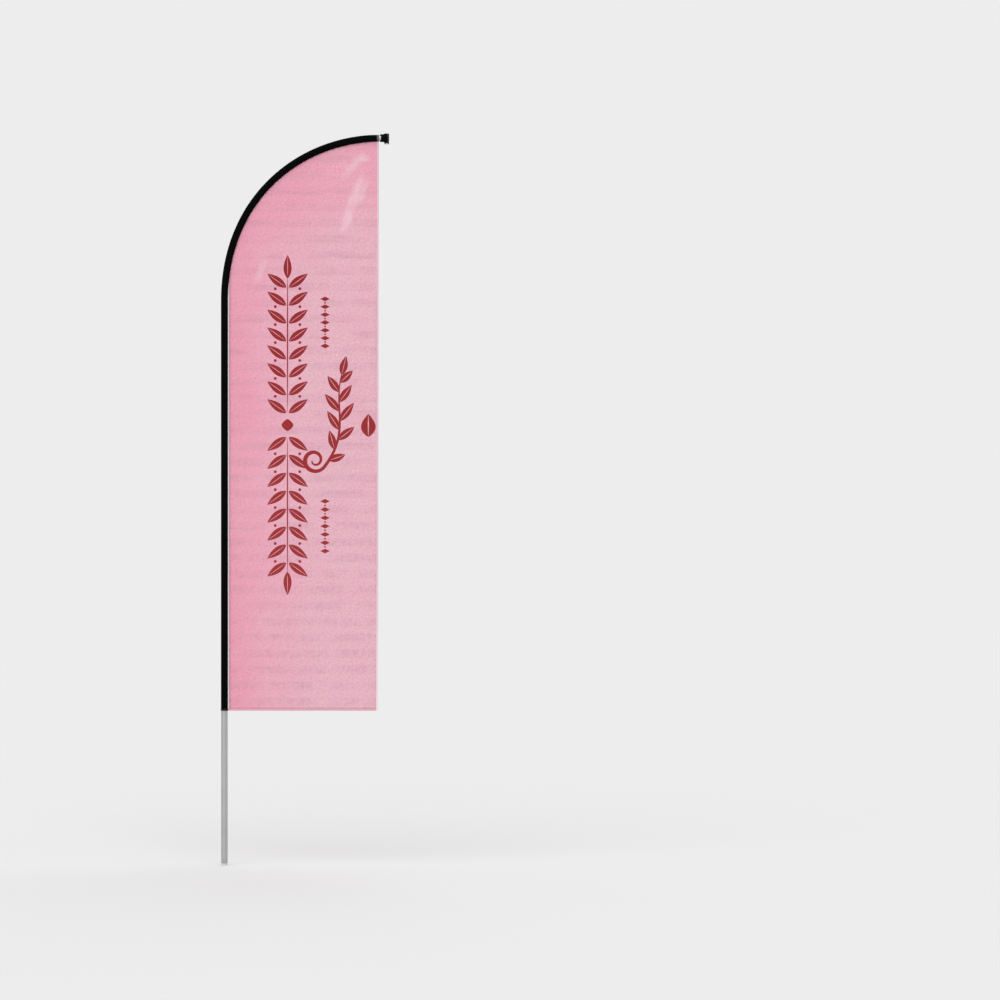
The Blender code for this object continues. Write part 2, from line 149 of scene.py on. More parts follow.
# %% Colour and node helpers
def linear(hex_colour):
    """A hex sRGB colour as linear red, green, blue and alpha."""
    channels = [int(hex_colour[i : i + 2], 16) / 255 for i in (1, 3, 5)]
    return [c / 12.92 if c <= 0.04045 else ((c + 0.055) / 1.055) ** 2.4 for c in channels] + [1.0]


def add(tree, kind, inputs=None, to=None, **settings):
    """Adds a node. settings are its properties, and inputs are its sockets, set or linked. Its
    result feeds the socket to."""
    made = tree.nodes.new(kind)
    for label, value in settings.items():
        setattr(made, label, value)
    for socket, value in (inputs or {}).items():
        if isinstance(value, bpy.types.NodeSocket):
            tree.links.new(value, made.inputs[socket])
        else:
            made.inputs[socket].default_value = value
    if to is not None:
        results = [output for output in made.outputs if output.enabled]
        tree.links.new(results[0], to)
    return made


def new_look(name, colour, **shader_inputs):
    """A Principled material. Returns it with its tree and its shader node."""
    look = bpy.data.materials.new(name)
    look.use_nodes = True
    tree = look.node_tree
    shader = tree.nodes["Principled BSDF"]
    shader.inputs["Base Color"].default_value = linear(colour)
    for label, value in shader_inputs.items():
        shader.inputs[label.replace("_", " ")].default_value = value
    return look, tree, shader


def worn_relief(tree, shader, wear, roughness, relief, strength, depth):
    """Wear moves the roughness between two values, and relief raises bumps."""
    add(
        tree,
        "ShaderNodeMapRange",
        {"Value": wear, "To Min": roughness[0], "To Max": roughness[1]},
        to=shader.inputs["Roughness"],
    )
    add(
        tree,
        "ShaderNodeBump",
        {"Height": relief, "Strength": strength, "Distance": depth},
        to=shader.inputs["Normal"],
    )


# %% [markdown]
# ## Aluminium
#
# The tubes are drawn through a die, which leaves hair-fine lines along them, and then anodised to
# a satin grey. Noise that is squeezed across the tube and stretched along it draws those lines.
# Real draw lines are about 0.1 mm wide. They are drawn 0.5 mm wide here so that they show.
# The anodised skin also varies a little in tone over a hand's width.

# %% Satin-anodised drawn aluminium
def drawn_aluminium():
    look, tree, shader = new_look(
        "anodised_drawn_aluminium", "#B3B3B4", Metallic=1.0, Roughness=0.45
    )
    place = add(tree, "ShaderNodeTexCoord").outputs["Object"]
    across = 1 / (0.5 * MM)
    lines_place = add(tree, "ShaderNodeMapping", {"Vector": place, "Scale": (across, across, 4.0)})
    lines = add(tree, "ShaderNodeTexNoise", {"Vector": lines_place.outputs[0], "Scale": 1.0})
    clouds = add(tree, "ShaderNodeTexNoise", {"Vector": place, "Scale": 11.0, "Detail": 3.0})
    add(
        tree,
        "ShaderNodeMix",
        {0: clouds.outputs["Fac"], 6: linear("#A9A9AB"), 7: linear("#BDBDBD")},
        data_type="RGBA",
        to=shader.inputs["Base Color"],
    )
    drawn = lines.outputs["Fac"]
    worn_relief(tree, shader, drawn, (0.38, 0.52), drawn, 0.25, 0.05 * MM)
    return look


ALUMINIUM_TUBE = drawn_aluminium()
print("made", ALUMINIUM_TUBE.name)

# %% [markdown]
# The foot and the spigots are turned on a lathe from bar. The tool leaves rings round the axis,
# 0.25 mm apart in life and 0.6 mm here. A saw-like wave along Z gives the rings, and a slow noise
# dulls them in places, as handling does. Bare metal is brighter than the anodised tube.

# %% Turned aluminium and steel
def turned_metal(name, colour, roughness, ring_pitch=0.6 * MM):
    look, tree, shader = new_look(name, colour, Metallic=1.0, Roughness=roughness)
    place = add(tree, "ShaderNodeTexCoord").outputs["Object"]
    rings = add(
        tree,
        "ShaderNodeTexWave",
        {"Vector": place, "Scale": math.tau / (20 * ring_pitch), "Distortion": 0.4},
        bands_direction="Z",
    )
    wear_and_highlight_mottle = add(tree, "ShaderNodeTexNoise", {"Vector": place, "Scale": 160.0, "Detail": 4.0})
    span = (roughness - 0.1, roughness + 0.12)
    worn_relief(
        tree, shader, wear_and_highlight_mottle.outputs["Fac"], span, rings.outputs["Fac"], 0.3, 0.04 * MM
    )
    return look


TURNED_FOOT = turned_metal("turned_aluminium_foot", "#D2D2D2", 0.34)
TURNED_SPIGOT = turned_metal("turned_aluminium_spigot", "#BFC0C2", 0.30)
ROLLED_STEEL = turned_metal("rolled_steel_pin", "#8C8D90", 0.30)
SPRING_STEEL = turned_metal("oiled_spring_steel", "#4A4A4C", 0.35)
print("made four turned metals")

# %% [markdown]
# ## Plastics
#
# The cap is injection-moulded black plastic. The mould was spark-eroded, so the plastic has a
# fine satin grain: noise bumps about 0.4 mm across. The end disc is glossier, and its paler grey
# is a painted highlight, where the disc's edge catches the light. The washer and the bush are
# natural nylon, milky and waxy. A little subsurface scattering gives the milky depth.

# %% Moulded plastics
def moulded(name, colour, roughness, grain, shine, scattering=0.0):
    look, tree, shader = new_look(
        name, colour, Roughness=roughness, Subsurface_Weight=scattering, Specular_IOR_Level=shine
    )
    shader.inputs["Subsurface Scale"].default_value = 1.0 * MM
    place = add(tree, "ShaderNodeTexCoord").outputs["Object"]
    pits = add(tree, "ShaderNodeTexNoise", {"Vector": place, "Scale": 1 / grain, "Detail": 2.0})
    wear = add(tree, "ShaderNodeTexNoise", {"Vector": place, "Scale": 90.0, "Detail": 3.0})
    span = (roughness - 0.08, roughness + 0.08)
    worn_relief(tree, shader, wear.outputs["Fac"], span, pits.outputs["Fac"], 0.2, 0.06 * MM)
    return look


CAP_PLASTIC = moulded("moulded_abs_black", "#050505", 0.50, 0.4 * MM, 0.03)
# The rim's paler grey is a painted highlight, where the end disc's edge catches the light.
CAP_RIM_PAINTED_HIGHLIGHT = moulded("moulded_abs_rim_painted_highlight", "#161617", 0.38, 0.4 * MM, 0.16)
NYLON = moulded("moulded_nylon_natural", "#DAD9D2", 0.45, 0.8 * MM, 0.3, scattering=0.2)
ACETAL = moulded("moulded_acetal_white", "#E8E8E4", 0.40, 0.8 * MM, 0.3, scattering=0.15)
print("made four plastics")

# %% [markdown]
# ## Woven tapes and cloth
#
# A plain weave is threads going over and under each other, so its relief is the product of two
# waves at right angles. On a sleeve that bends, the threads must follow the cloth. The sleeve
# therefore carries two values at each point: `along`, the distance along the pole, and `round`,
# the direction round it as a cosine and a sine. Flat tapes read their place directly.

# %% Weave on tubes and on flat cloth
def wave(tree, value, pitch, phase=0.0):
    """A wave of -1 to 1 along a value in metres. Three kinds of cloth share it."""
    turns = add(tree, "ShaderNodeMath", {0: value, 1: math.tau / pitch}, operation="MULTIPLY")
    moved = add(tree, "ShaderNodeMath", {0: turns.outputs[0], 1: phase}, operation="ADD")
    return add(tree, "ShaderNodeMath", {0: moved.outputs[0]}, operation="SINE").outputs[0]


def tube_places(tree, radius):
    """Metres along and metres round a swept tube."""
    along = add(tree, "ShaderNodeAttribute", attribute_name="along").outputs["Fac"]
    turn = add(tree, "ShaderNodeAttribute", attribute_name="round").outputs["Vector"]
    parts = add(tree, "ShaderNodeSeparateXYZ", {0: turn})
    angle = add(
        tree,
        "ShaderNodeMath",
        {0: parts.outputs[1], 1: parts.outputs[0]},
        operation="ARCTAN2",
    )
    girth = add(tree, "ShaderNodeMath", {0: angle.outputs[0], 1: radius}, operation="MULTIPLY")
    return along, girth.outputs[0]


def woven_tube(name, colour, paler, radius, pitch_along, pitch_round, roughness, shine):
    """Woven cloth wrapped round the pole. Thread pitches are in metres."""
    look, tree, shader = new_look(name, colour, Roughness=roughness, Specular_IOR_Level=shine)
    along, girth = tube_places(tree, radius)
    threads = round(math.tau * radius / pitch_round)
    warp = wave(tree, girth, math.tau * radius / threads)
    weft = wave(tree, along, pitch_along)
    relief = add(tree, "ShaderNodeMath", {0: warp, 1: weft}, operation="MULTIPLY").outputs[0]
    place = add(tree, "ShaderNodeTexCoord").outputs["Object"]
    fade = add(tree, "ShaderNodeTexNoise", {"Vector": place, "Scale": 14.0, "Detail": 5.0})
    add(
        tree,
        "ShaderNodeMix",
        {0: fade.outputs["Fac"], 6: linear(colour), 7: linear(paler)},
        data_type="RGBA",
        to=shader.inputs["Base Color"],
    )
    add(
        tree,
        "ShaderNodeBump",
        {"Height": relief, "Strength": 0.5, "Distance": 0.12 * MM},
        to=shader.inputs["Normal"],
    )
    return look


# %% [markdown]
# The sleeve is black polyester oxford, a plain weave with threads about 0.4 mm apart. They are
# drawn 1 mm apart here. Matt black cloth has almost no mirror reflection, so its specular
# level is close to 0. The bindings are grosgrain tape, whose ribs run across it.

# %% Sleeve and binding cloths
SLEEVE_CLOTH = woven_tube(
    "oxford_polyester_black", "#060606", "#0A0A0A", SLEEVE_RADIUS, 1 * MM, 1 * MM, 0.9, 0.02
)
TIP_TAPE = woven_tube(
    "grosgrain_tape_grey", "#4A4A4A", "#5A5A5A", TOP_RADIUS, 0.9 * MM, 3 * MM, 0.7, 0.2
)
MOUTH_TAPE = woven_tube(
    "grosgrain_tape_black", "#161616", "#1E1E1E", SLEEVE_RADIUS, 0.9 * MM, 3 * MM, 0.8, 0.05
)
ELASTIC = woven_tube(
    "knitted_elastic_black", "#1A1A1C", "#242426", POLE_RADIUS, 1.2 * MM, 1.6 * MM, 0.9, 0.05
)
print("made four woven tubes")


# %% [markdown]
# The seam tape and the two hems are flat strips in the flag's plane. Their threads follow X and
# Z. The tape is undyed cotton. The fly hem is the bare edge of the printed cloth turned over, so
# it is nearly white, and it fades to pink towards the top.

# %% Flat woven tapes
def flat_tape(name, low_colour, high_colour, change_height=TIP_HEIGHT, thread_pitch=1 * MM):
    look, tree, shader = new_look(name, low_colour, Roughness=0.8, Specular_IOR_Level=0.2)
    place = add(tree, "ShaderNodeTexCoord").outputs["Object"]
    parts = add(tree, "ShaderNodeSeparateXYZ", {0: place}).outputs
    relief = add(
        tree,
        "ShaderNodeMath",
        {0: wave(tree, parts[0], thread_pitch), 1: wave(tree, parts[2], thread_pitch)},
        operation="MULTIPLY",
    )
    height = add(
        tree,
        "ShaderNodeMapRange",
        {"Value": parts[2], "From Min": FLAG_FOOT, "From Max": change_height},
    )
    blotch = add(tree, "ShaderNodeTexNoise", {"Vector": place, "Scale": 9.0, "Detail": 4.0})
    uneven = add(
        tree,
        "ShaderNodeMath",
        {0: blotch.outputs["Fac"], 1: 0.5, 2: height.outputs[0]},
        operation="MULTIPLY_ADD",
    )
    shifted = add(tree, "ShaderNodeMath", {0: uneven.outputs[0], 1: 0.25}, operation="SUBTRACT")
    add(
        tree,
        "ShaderNodeMix",
        {0: shifted.outputs[0], 6: linear(low_colour), 7: linear(high_colour)},
        data_type="RGBA",
        to=shader.inputs["Base Color"],
    )
    add(
        tree,
        "ShaderNodeBump",
        {"Height": relief.outputs[0], "Strength": 0.4, "Distance": 0.1 * MM},
        to=shader.inputs["Normal"],
    )
    return look


SEAM_COTTON = flat_tape("cotton_tape_undyed", "#E0E0DF", "#DADADA")
FLY_TAPE = flat_tape("turned_edge_polyester", "#E6D5DA", "#DCB6C2", change_height=1.2)
FOOT_HEM = flat_tape("turned_hem_polyester_pink", "#D79FAE", "#D79FAE")
print("made three flat tapes")

# %% [markdown]
# ## Printed cloth
#
# The panel is knitted polyester, printed by dye sublimation: the colour is in the threads, so it
# is matt and shows on both sides. The ground is a mottled pink, deeper beside the sleeve and
# paler and more mauve towards the free edge. Two values stored on the mesh steer it: `seam`,
# which is 1 at the sleeve and falls to 0 inside the panel, and a fold value, which is 1 on the
# folds near the top corner, where a pale highlight is painted in for the light catching them.
#
# Faint rows of mauve smudges cross the ground every 61 mm, as on an old printed page that has
# blurred past reading. Noise that is stretched sideways makes the smudges, and a wave in Z gates
# it into rows. They are marks only, with no shape of letters in them.
#
# The cloth was folded small in its bag, so fine creases cover it: slanting noise 12 mm long and
# 4.5 mm across. A Mapping node of type Texture turns first and stretches afterwards, which is
# what slants the creases. The same noise paints shade into the ground's colour in the crease
# hollows, and a faint painted highlight into the ink on the ridges. The knit's stitches are about
# 0.6 mm, and are drawn at 1.2 mm so that they show.

# %% Dye-printed polyester knit
ROW_PITCH = 61 * MM
KNIT_PITCH = 1.2 * MM
CREASE_SLANT = math.radians(43)
CREASE_SIZE = (12 * MM, 1.0, 4.5 * MM)


def cloth_relief(tree, shader, place):
    """Fine creases and the knit, as bumps. Returns the creases too, which paint shade and highlight
    into the colour.
    """
    slanted = add(
        tree,
        "ShaderNodeMapping",
        {"Vector": place, "Rotation": (0.0, CREASE_SLANT, 0.0), "Scale": CREASE_SIZE},
        vector_type="TEXTURE",
    )
    grain = add(
        tree, "ShaderNodeTexNoise", {"Vector": slanted.outputs[0], "Scale": 1.0, "Detail": 2.0}
    )
    creases = add(
        tree,
        "ShaderNodeBump",
        {"Height": grain.outputs["Fac"], "Strength": 1.0, "Distance": 1.8 * MM},
    )
    parts = add(tree, "ShaderNodeSeparateXYZ", {0: place}).outputs
    knit = add(
        tree,
        "ShaderNodeMath",
        {0: wave(tree, parts[0], KNIT_PITCH), 1: wave(tree, parts[2], KNIT_PITCH)},
        operation="MULTIPLY",
    )
    add(
        tree,
        "ShaderNodeBump",
        {
            "Height": knit.outputs[0],
            "Strength": 0.5,
            "Distance": 0.12 * MM,
            "Normal": creases.outputs[0],
        },
        to=shader.inputs["Normal"],
    )
    return grain.outputs["Fac"]


def stretched_noise(tree, place, scale, detail, ends, lowest=0.0):
    """lowest to 1: noise squeezed by a scale for each axis, cut off at two of its values."""
    squeezed = add(tree, "ShaderNodeMapping", {"Vector": place, "Scale": scale})
    noise = add(
        tree,
        "ShaderNodeTexNoise",
        {"Vector": squeezed.outputs[0], "Scale": 1.0, "Detail": detail},
    )
    return add(
        tree,
        "ShaderNodeMapRange",
        {
            "Value": noise.outputs["Fac"],
            "From Min": ends[0],
            "From Max": ends[1],
            "To Min": lowest,
        },
    ).outputs[0]


def smudged_rows(tree, place):
    """0 to 1: how strongly the blurred rows show at a place."""
    parts = add(tree, "ShaderNodeSeparateXYZ", {0: place}).outputs
    gate = add(
        tree,
        "ShaderNodeMapRange",
        {"Value": wave(tree, parts[2], ROW_PITCH), "From Min": -0.45, "From Max": 0.45},
        interpolation_type="SMOOTHSTEP",
    ).outputs[0]
    blots = stretched_noise(tree, place, (55, 1, 36), 2.0, (0.3, 0.7), lowest=0.1)
    bands = stretched_noise(tree, place, (6, 1, 45), 3.0, (0.3, 0.7))
    kept = stretched_noise(tree, place, (9, 1, 16), 1.0, (0.34, 0.56))
    high = add(
        tree, "ShaderNodeMapRange", {"Value": parts[2], "From Min": 1.1, "From Max": 1.9}
    )
    mixed = add(tree, "ShaderNodeMix", {0: high.outputs[0], 2: blots, 3: bands})
    strength = gate
    for factor in (mixed.outputs[0], kept):
        strength = add(
            tree, "ShaderNodeMath", {0: strength, 1: factor}, operation="MULTIPLY"
        ).outputs[0]
    return strength


def tinted(tree, colour, other, value, value_range, shares):
    """Tints a colour towards another, by shares that follow a value between two ends."""
    share = add(
        tree,
        "ShaderNodeMapRange",
        {
            "Value": value,
            "From Min": value_range[0],
            "From Max": value_range[1],
            "To Min": shares[0],
            "To Max": shares[1],
        },
    )
    return add(
        tree,
        "ShaderNodeMix",
        {0: share.outputs[0], 6: colour, 7: linear(other)},
        data_type="RGBA",
    ).outputs[2]


def printed_ground():
    look, tree, shader = new_look(
        "polyester_knit_printed_pink",
        "#DAADBA",
        Roughness=0.75,
        Specular_IOR_Level=0.15,
    )
    place = add(tree, "ShaderNodeTexCoord").outputs["Object"]
    grain = cloth_relief(tree, shader, place)
    seam = add(tree, "ShaderNodeAttribute", attribute_name="seam").outputs["Fac"]
    fold_highlight = add(tree, "ShaderNodeAttribute", attribute_name="fold_highlight").outputs["Fac"]
    drift = add(tree, "ShaderNodeTexNoise", {"Vector": place, "Scale": 5.0, "Detail": 6.0})
    wander = add(
        tree,
        "ShaderNodeMapRange",
        {
            "Value": drift.outputs["Fac"],
            "From Min": 0.3,
            "From Max": 0.7,
            "To Min": -0.22,
            "To Max": 0.22,
        },
    )
    depth = add(
        tree,
        "ShaderNodeMath",
        {0: seam, 1: wander.outputs[0]},
        operation="ADD",
        use_clamp=True,
    )
    colour = add(
        tree,
        "ShaderNodeMix",
        {0: depth.outputs[0], 6: linear("#E1B2BF"), 7: linear("#E69DB1")},
        data_type="RGBA",
    ).outputs[2]
    rows = smudged_rows(tree, place)
    colour = tinted(tree, colour, "#BB8C9F", rows, (0, 1), (0, 0.38))
    # Painted shade: the colour darkens towards mauve in the hollows of the fine creases.
    colour = tinted(tree, colour, "#B97F90", grain, (0.35, 0.6), (0.34, 0))
    # Painted highlight: the folds near the top corner pale towards white, broken up by noise, where
    # light would catch them.
    wear_and_highlight_mottle = add(tree, "ShaderNodeTexNoise", {"Vector": place, "Scale": 17.0, "Detail": 5.0})
    fold_highlight_mottled = add(
        tree,
        "ShaderNodeMath",
        {0: fold_highlight, 1: wear_and_highlight_mottle.outputs["Fac"]},
        operation="MULTIPLY",
    )
    colour = tinted(tree, colour, "#E9CFD7", fold_highlight_mottled.outputs[0], (0.18, 0.6), (0, 0.5))
    tree.links.new(colour, shader.inputs["Base Color"])
    return look


def printed_ink():
    look, tree, shader = new_look(
        "polyester_knit_printed_red", "#9C3434", Roughness=0.75, Specular_IOR_Level=0.15
    )
    place = add(tree, "ShaderNodeTexCoord").outputs["Object"]
    grain = cloth_relief(tree, shader, place)
    height = add(tree, "ShaderNodeSeparateXYZ", {0: place}).outputs[2]
    colour = tinted(
        tree, linear("#9C3234"), "#88171A", height, (FLAG_FOOT, TIP_HEIGHT), (0, 1)
    )
    # Painted highlight: the red pales a little on the ridges of the fine creases.
    colour = tinted(tree, colour, "#C26C72", grain, (0.35, 0.7), (0, 0.09))
    tree.links.new(colour, shader.inputs["Base Color"])
    return look


PANEL_PINK = printed_ground()
PANEL_RED = printed_ink()
print("made the two printed cloths")

# %% [markdown]
# Sewing thread is twisted from three strands. On a stitch 2.4 mm long that twist is a few slanting
# ridges, so a wave across the thread is enough. The thread matches the cloth that it holds.

# %% Sewing thread
def thread(name, colour):
    look, tree, shader = new_look(name, colour, Roughness=0.6, Specular_IOR_Level=0.25)
    place = add(tree, "ShaderNodeTexCoord").outputs["Object"]
    twist = add(
        tree,
        "ShaderNodeTexWave",
        {"Vector": place, "Scale": math.tau / (20 * 0.5 * MM)},
        bands_direction="DIAGONAL",
    )
    add(
        tree,
        "ShaderNodeBump",
        {"Height": twist.outputs["Fac"], "Strength": 0.4, "Distance": 0.05 * MM},
        to=shader.inputs["Normal"],
    )
    return look


PINK_THREAD = thread("polyester_thread_pink", "#DDA9B6")
WHITE_THREAD = thread("polyester_thread_white", "#D6D2D2")
BLACK_THREAD = thread("polyester_thread_black", "#141414")
print("made three threads")

# %% [markdown]
# ## Turning points into pieces
#
# Most pieces are rings of points joined by faces: a lathe turns a profile into rings, and a tape
# is one cross-section repeated along its length. `joined_rings` makes those faces. `add_piece`
# makes the mesh an object that rides on a CAD body and stands for the CAD nodes it replaces.
# Cloth and tubes start as a skin, which `thicken` turns into a wall.

# %% Mesh helpers
SMOOTH_ANGLE = math.radians(35)
WELD_DISTANCE = 0.01 * MM


def joined_rings(rings, ring_of_rings):
    """Points and faces of a skin over rings of points. The ends meet, or each gets a lid."""
    count, sides = rings.shape[:2]
    faces = []
    for ring in range(count if ring_of_rings else count - 1):
        here, following = ring * sides, (ring + 1) % count * sides
        for side in range(sides):
            after = (side + 1) % sides
            faces.append((here + side, here + after, following + after, following + side))
    if not ring_of_rings:
        faces.append(tuple(range(sides))[::-1])
        faces.append(tuple(range((count - 1) * sides, count * sides)))
    return rings.reshape(-1, 3), faces


def mesh_from(name, points, faces):
    mesh = bpy.data.meshes.new(name)
    mesh.from_pydata([tuple(point) for point in points], [], faces)
    return mesh


def faced_outward(mesh, weld=False):
    """Turns all faces outward. weld first joins the points that share a place."""
    skin = bmesh.new()
    skin.from_mesh(mesh)
    if weld:
        bmesh.ops.remove_doubles(skin, verts=skin.verts, dist=WELD_DISTANCE)
    bmesh.ops.recalc_face_normals(skin, faces=skin.faces)
    skin.to_mesh(mesh)
    skin.free()
    return mesh


def thicken(piece, label, thickness, offset):
    """Gives a skin its thickness, inwards at an offset of -1 and to both sides at 0."""
    wall = piece.modifiers.new(label, "SOLIDIFY")
    wall.thickness = thickness
    wall.offset = offset


def add_piece(mesh, body, looks, stands_for=()):
    """Makes a mesh a piece of the object. It takes its name from the mesh."""
    piece = bpy.data.objects.new(mesh.name, mesh)
    bpy.context.scene.collection.objects.link(piece)
    for look in looks:
        mesh.materials.append(look)
    mesh.shade_smooth()
    mesh.set_sharp_from_angle(angle=SMOOTH_ANGLE)
    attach(piece, body)
    if stands_for:
        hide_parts(*stands_for)
    print(f"{piece.name}: {len(mesh.polygons)} faces, rides on {body}")
    return piece


# %% [markdown]
# ## The swivel foot
#
# The foot is a turned aluminium socket that drops over the pin of a ground spike, so that the
# pole can turn with the wind. Below the tube only its collar shows, with a nylon washer above it.
# A profile spun round Z is the natural way to make a turned part. The CAD model has 24 facets,
# and this one has 96, with its edges broken as a lathe hand breaks them.

# %% Turned profiles
TURNED_SIDES = 96
EDGE_BREAK = 0.4 * MM


def broken_edges(profile, reach=EDGE_BREAK):
    """Rounds each inner corner of a profile with a short curve."""
    corners = [np.array(point) for point in profile]
    rounded = [corners[0]]
    for before, corner, after in zip(corners, corners[1:], corners[2:]):
        back, ahead = before - corner, after - corner
        room = min(reach, np.linalg.norm(back) / 2.5, np.linalg.norm(ahead) / 2.5)
        start = corner + back / np.linalg.norm(back) * room
        end = corner + ahead / np.linalg.norm(ahead) * room
        for t in (0.0, 0.33, 0.67, 1.0):
            rounded.append((1 - t) ** 2 * start + 2 * t * (1 - t) * corner + t * t * end)
    return [*rounded, corners[-1]]


def turned_mesh(name, profile, on_axis, sides=TURNED_SIDES):
    """Spins (radius, height) points about Z. on_axis profiles begin and end at radius 0."""
    angles = np.arange(sides) * math.tau / sides
    rings = np.array(
        [
            [(radius * math.cos(a), radius * math.sin(a), height) for a in angles]
            for radius, height in profile
        ]
    )
    mesh = mesh_from(name, *joined_rings(rings, ring_of_rings=not on_axis))
    return faced_outward(mesh, weld=True) if on_axis else mesh


# %% Foot socket and washer
socket_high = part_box("foot_socket")[1]
clip_low, clip_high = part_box("foot_circlip")
washer_low, washer_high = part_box("foot_washer")
COLLAR_RADIUS = socket_high.y
COLLAR_TAPER = 0.8 * MM
WASHER_SEAT = 0.3 * MM
COLLAR_TOP = washer_low.z - WASHER_SEAT
BARREL_RADIUS = 8.0 * MM
SPINDLE_RADIUS = 6.1 * MM
SPINDLE_DEPTH = 0.128
GROOVE_RADIUS = BARREL_RADIUS - 0.6 * MM
GROOVE_PLAY = 0.3 * MM

foot_profile = [
    (0.0, SPINDLE_DEPTH),
    (SPINDLE_RADIUS, SPINDLE_DEPTH),
    (SPINDLE_RADIUS, 0.0),
    (COLLAR_RADIUS, 0.0),
    (COLLAR_RADIUS - COLLAR_TAPER, COLLAR_TOP),
    (BARREL_RADIUS, COLLAR_TOP),
    (BARREL_RADIUS, clip_low.z - GROOVE_PLAY),
    (GROOVE_RADIUS, clip_low.z - GROOVE_PLAY),
    (GROOVE_RADIUS, clip_high.z + GROOVE_PLAY),
    (BARREL_RADIUS, clip_high.z + GROOVE_PLAY),
    (BARREL_RADIUS, socket_high.z),
    (0.0, socket_high.z),
]
add_piece(
    turned_mesh("foot_socket_turned", broken_edges(foot_profile), on_axis=True),
    "foot",
    [TURNED_FOOT],
    ["foot_socket"],
)

WASHER_PLAY = 0.3 * MM
WASHER_CHAMFER = 0.2 * MM
washer_bore = BARREL_RADIUS + WASHER_PLAY
washer_profile = [
    (washer_bore, washer_low.z),
    (washer_high.y - WASHER_CHAMFER, washer_low.z),
    (washer_high.y, washer_low.z + WASHER_CHAMFER),
    (washer_high.y, washer_high.z - WASHER_CHAMFER),
    (washer_high.y - WASHER_CHAMFER, washer_high.z),
    (washer_bore, washer_high.z),
]
add_piece(
    turned_mesh("foot_washer_moulded", washer_profile, on_axis=False),
    "foot",
    [NYLON],
    ["foot_washer"],
)

# %% [markdown]
# ## Tubes that follow the pole
#
# Five pieces are tubes along the centre line: two of the pole's tubes, the cloth sleeve, and the
# bindings at its two ends. One Geometry Nodes tree makes them all. It takes a line of points,
# each with its own radius, and sweeps a circle along it. On the inner side of a bend, cloth is
# pushed together and puckers. The tree lifts the surface there in small even ridges. Metal gets a
# pucker depth of 0. The tree also stores `along` and `round` for the weave.

# %% Geometry Nodes: tube along a path
def new_tree(name, sizes):
    """A Geometry Nodes tree with named inputs. Returns it with the outputs of its input node."""
    tree = bpy.data.node_groups.new(name, "GeometryNodeTree")
    tree.interface.new_socket("Geometry", in_out="INPUT", socket_type="NodeSocketGeometry")
    tree.interface.new_socket("Geometry", in_out="OUTPUT", socket_type="NodeSocketGeometry")
    for label, kind in sizes.items():
        tree.interface.new_socket(label, in_out="INPUT", socket_type=f"NodeSocket{kind}")
    return tree, tree.nodes.new("NodeGroupInput").outputs


def tube_tree():
    sizes = {"Sides": "Int", "Pucker depth": "Float", "Pucker pitch": "Float", "Look": "Material"}
    tree, given = new_tree("tube_along_path", sizes)
    stored = {
        label: add(
            tree, "GeometryNodeInputNamedAttribute", {"Name": label}, data_type=kind
        ).outputs["Attribute"]
        for label, kind in {
            "radius": "FLOAT",
            "along": "FLOAT",
            "bent": "FLOAT",
            "flagward": "FLOAT_VECTOR",
        }.items()
    }
    line = add(tree, "GeometryNodeMeshToCurve", {"Mesh": given["Geometry"]}).outputs[0]
    circle = add(
        tree, "GeometryNodeCurvePrimitiveCircle", {"Resolution": given["Sides"], "Radius": 1.0}
    ).outputs[0]
    wall = add(
        tree,
        "GeometryNodeCurveToMesh",
        {"Curve": line, "Profile Curve": circle, "Scale": stored["radius"]},
    )
    normal = add(tree, "GeometryNodeInputNormal").outputs[0]
    facing = add(
        tree,
        "ShaderNodeVectorMath",
        {0: normal, 1: stored["flagward"]},
        operation="DOT_PRODUCT",
    ).outputs["Value"]
    depthward = add(tree, "ShaderNodeSeparateXYZ", {0: normal}).outputs[1]
    turn = add(tree, "ShaderNodeCombineXYZ", {0: facing, 1: depthward}).outputs[0]
    kept = add(
        tree,
        "GeometryNodeStoreNamedAttribute",
        {"Geometry": wall.outputs[0], "Name": "round", "Value": turn},
        data_type="FLOAT_VECTOR",
        domain="POINT",
    ).outputs[0]
    inner = add(tree, "ShaderNodeMath", {0: facing, 1: 0.0}, operation="MAXIMUM").outputs[0]
    narrow = add(tree, "ShaderNodeMath", {0: inner, 1: 2.0}, operation="POWER").outputs[0]
    ridges = add(
        tree, "ShaderNodeMath", {0: stored["along"], 1: given["Pucker pitch"]}, operation="DIVIDE"
    ).outputs[0]
    turns = add(tree, "ShaderNodeMath", {0: ridges, 1: math.tau}, operation="MULTIPLY").outputs[0]
    wobble = add(tree, "ShaderNodeTexNoise", {"Scale": 20.0, "Detail": 1.0}).outputs["Fac"]
    shifted = add(
        tree, "ShaderNodeMath", {0: wobble, 1: 9.0, 2: turns}, operation="MULTIPLY_ADD"
    ).outputs[0]
    lift = add(tree, "ShaderNodeMath", {0: shifted}, operation="SINE").outputs[0]
    raised = add(
        tree, "ShaderNodeMath", {0: lift, 1: 0.5, 2: 0.5}, operation="MULTIPLY_ADD"
    ).outputs[0]
    for factor in (narrow, stored["bent"], given["Pucker depth"]):
        raised = add(
            tree, "ShaderNodeMath", {0: raised, 1: factor}, operation="MULTIPLY"
        ).outputs[0]
    push = add(
        tree, "ShaderNodeVectorMath", {0: normal, "Scale": raised}, operation="SCALE"
    ).outputs[0]
    moved = add(tree, "GeometryNodeSetPosition", {"Geometry": kept, "Offset": push}).outputs[0]
    whole = add(tree, "GeometryNodeRealizeInstances", {"Geometry": moved}).outputs[0]
    dressed = add(
        tree, "GeometryNodeSetMaterial", {"Geometry": whole, "Material": given["Look"]}
    ).outputs[0]
    add(tree, "NodeGroupOutput", {"Geometry": dressed})
    return tree


TUBE_TREE = tube_tree()


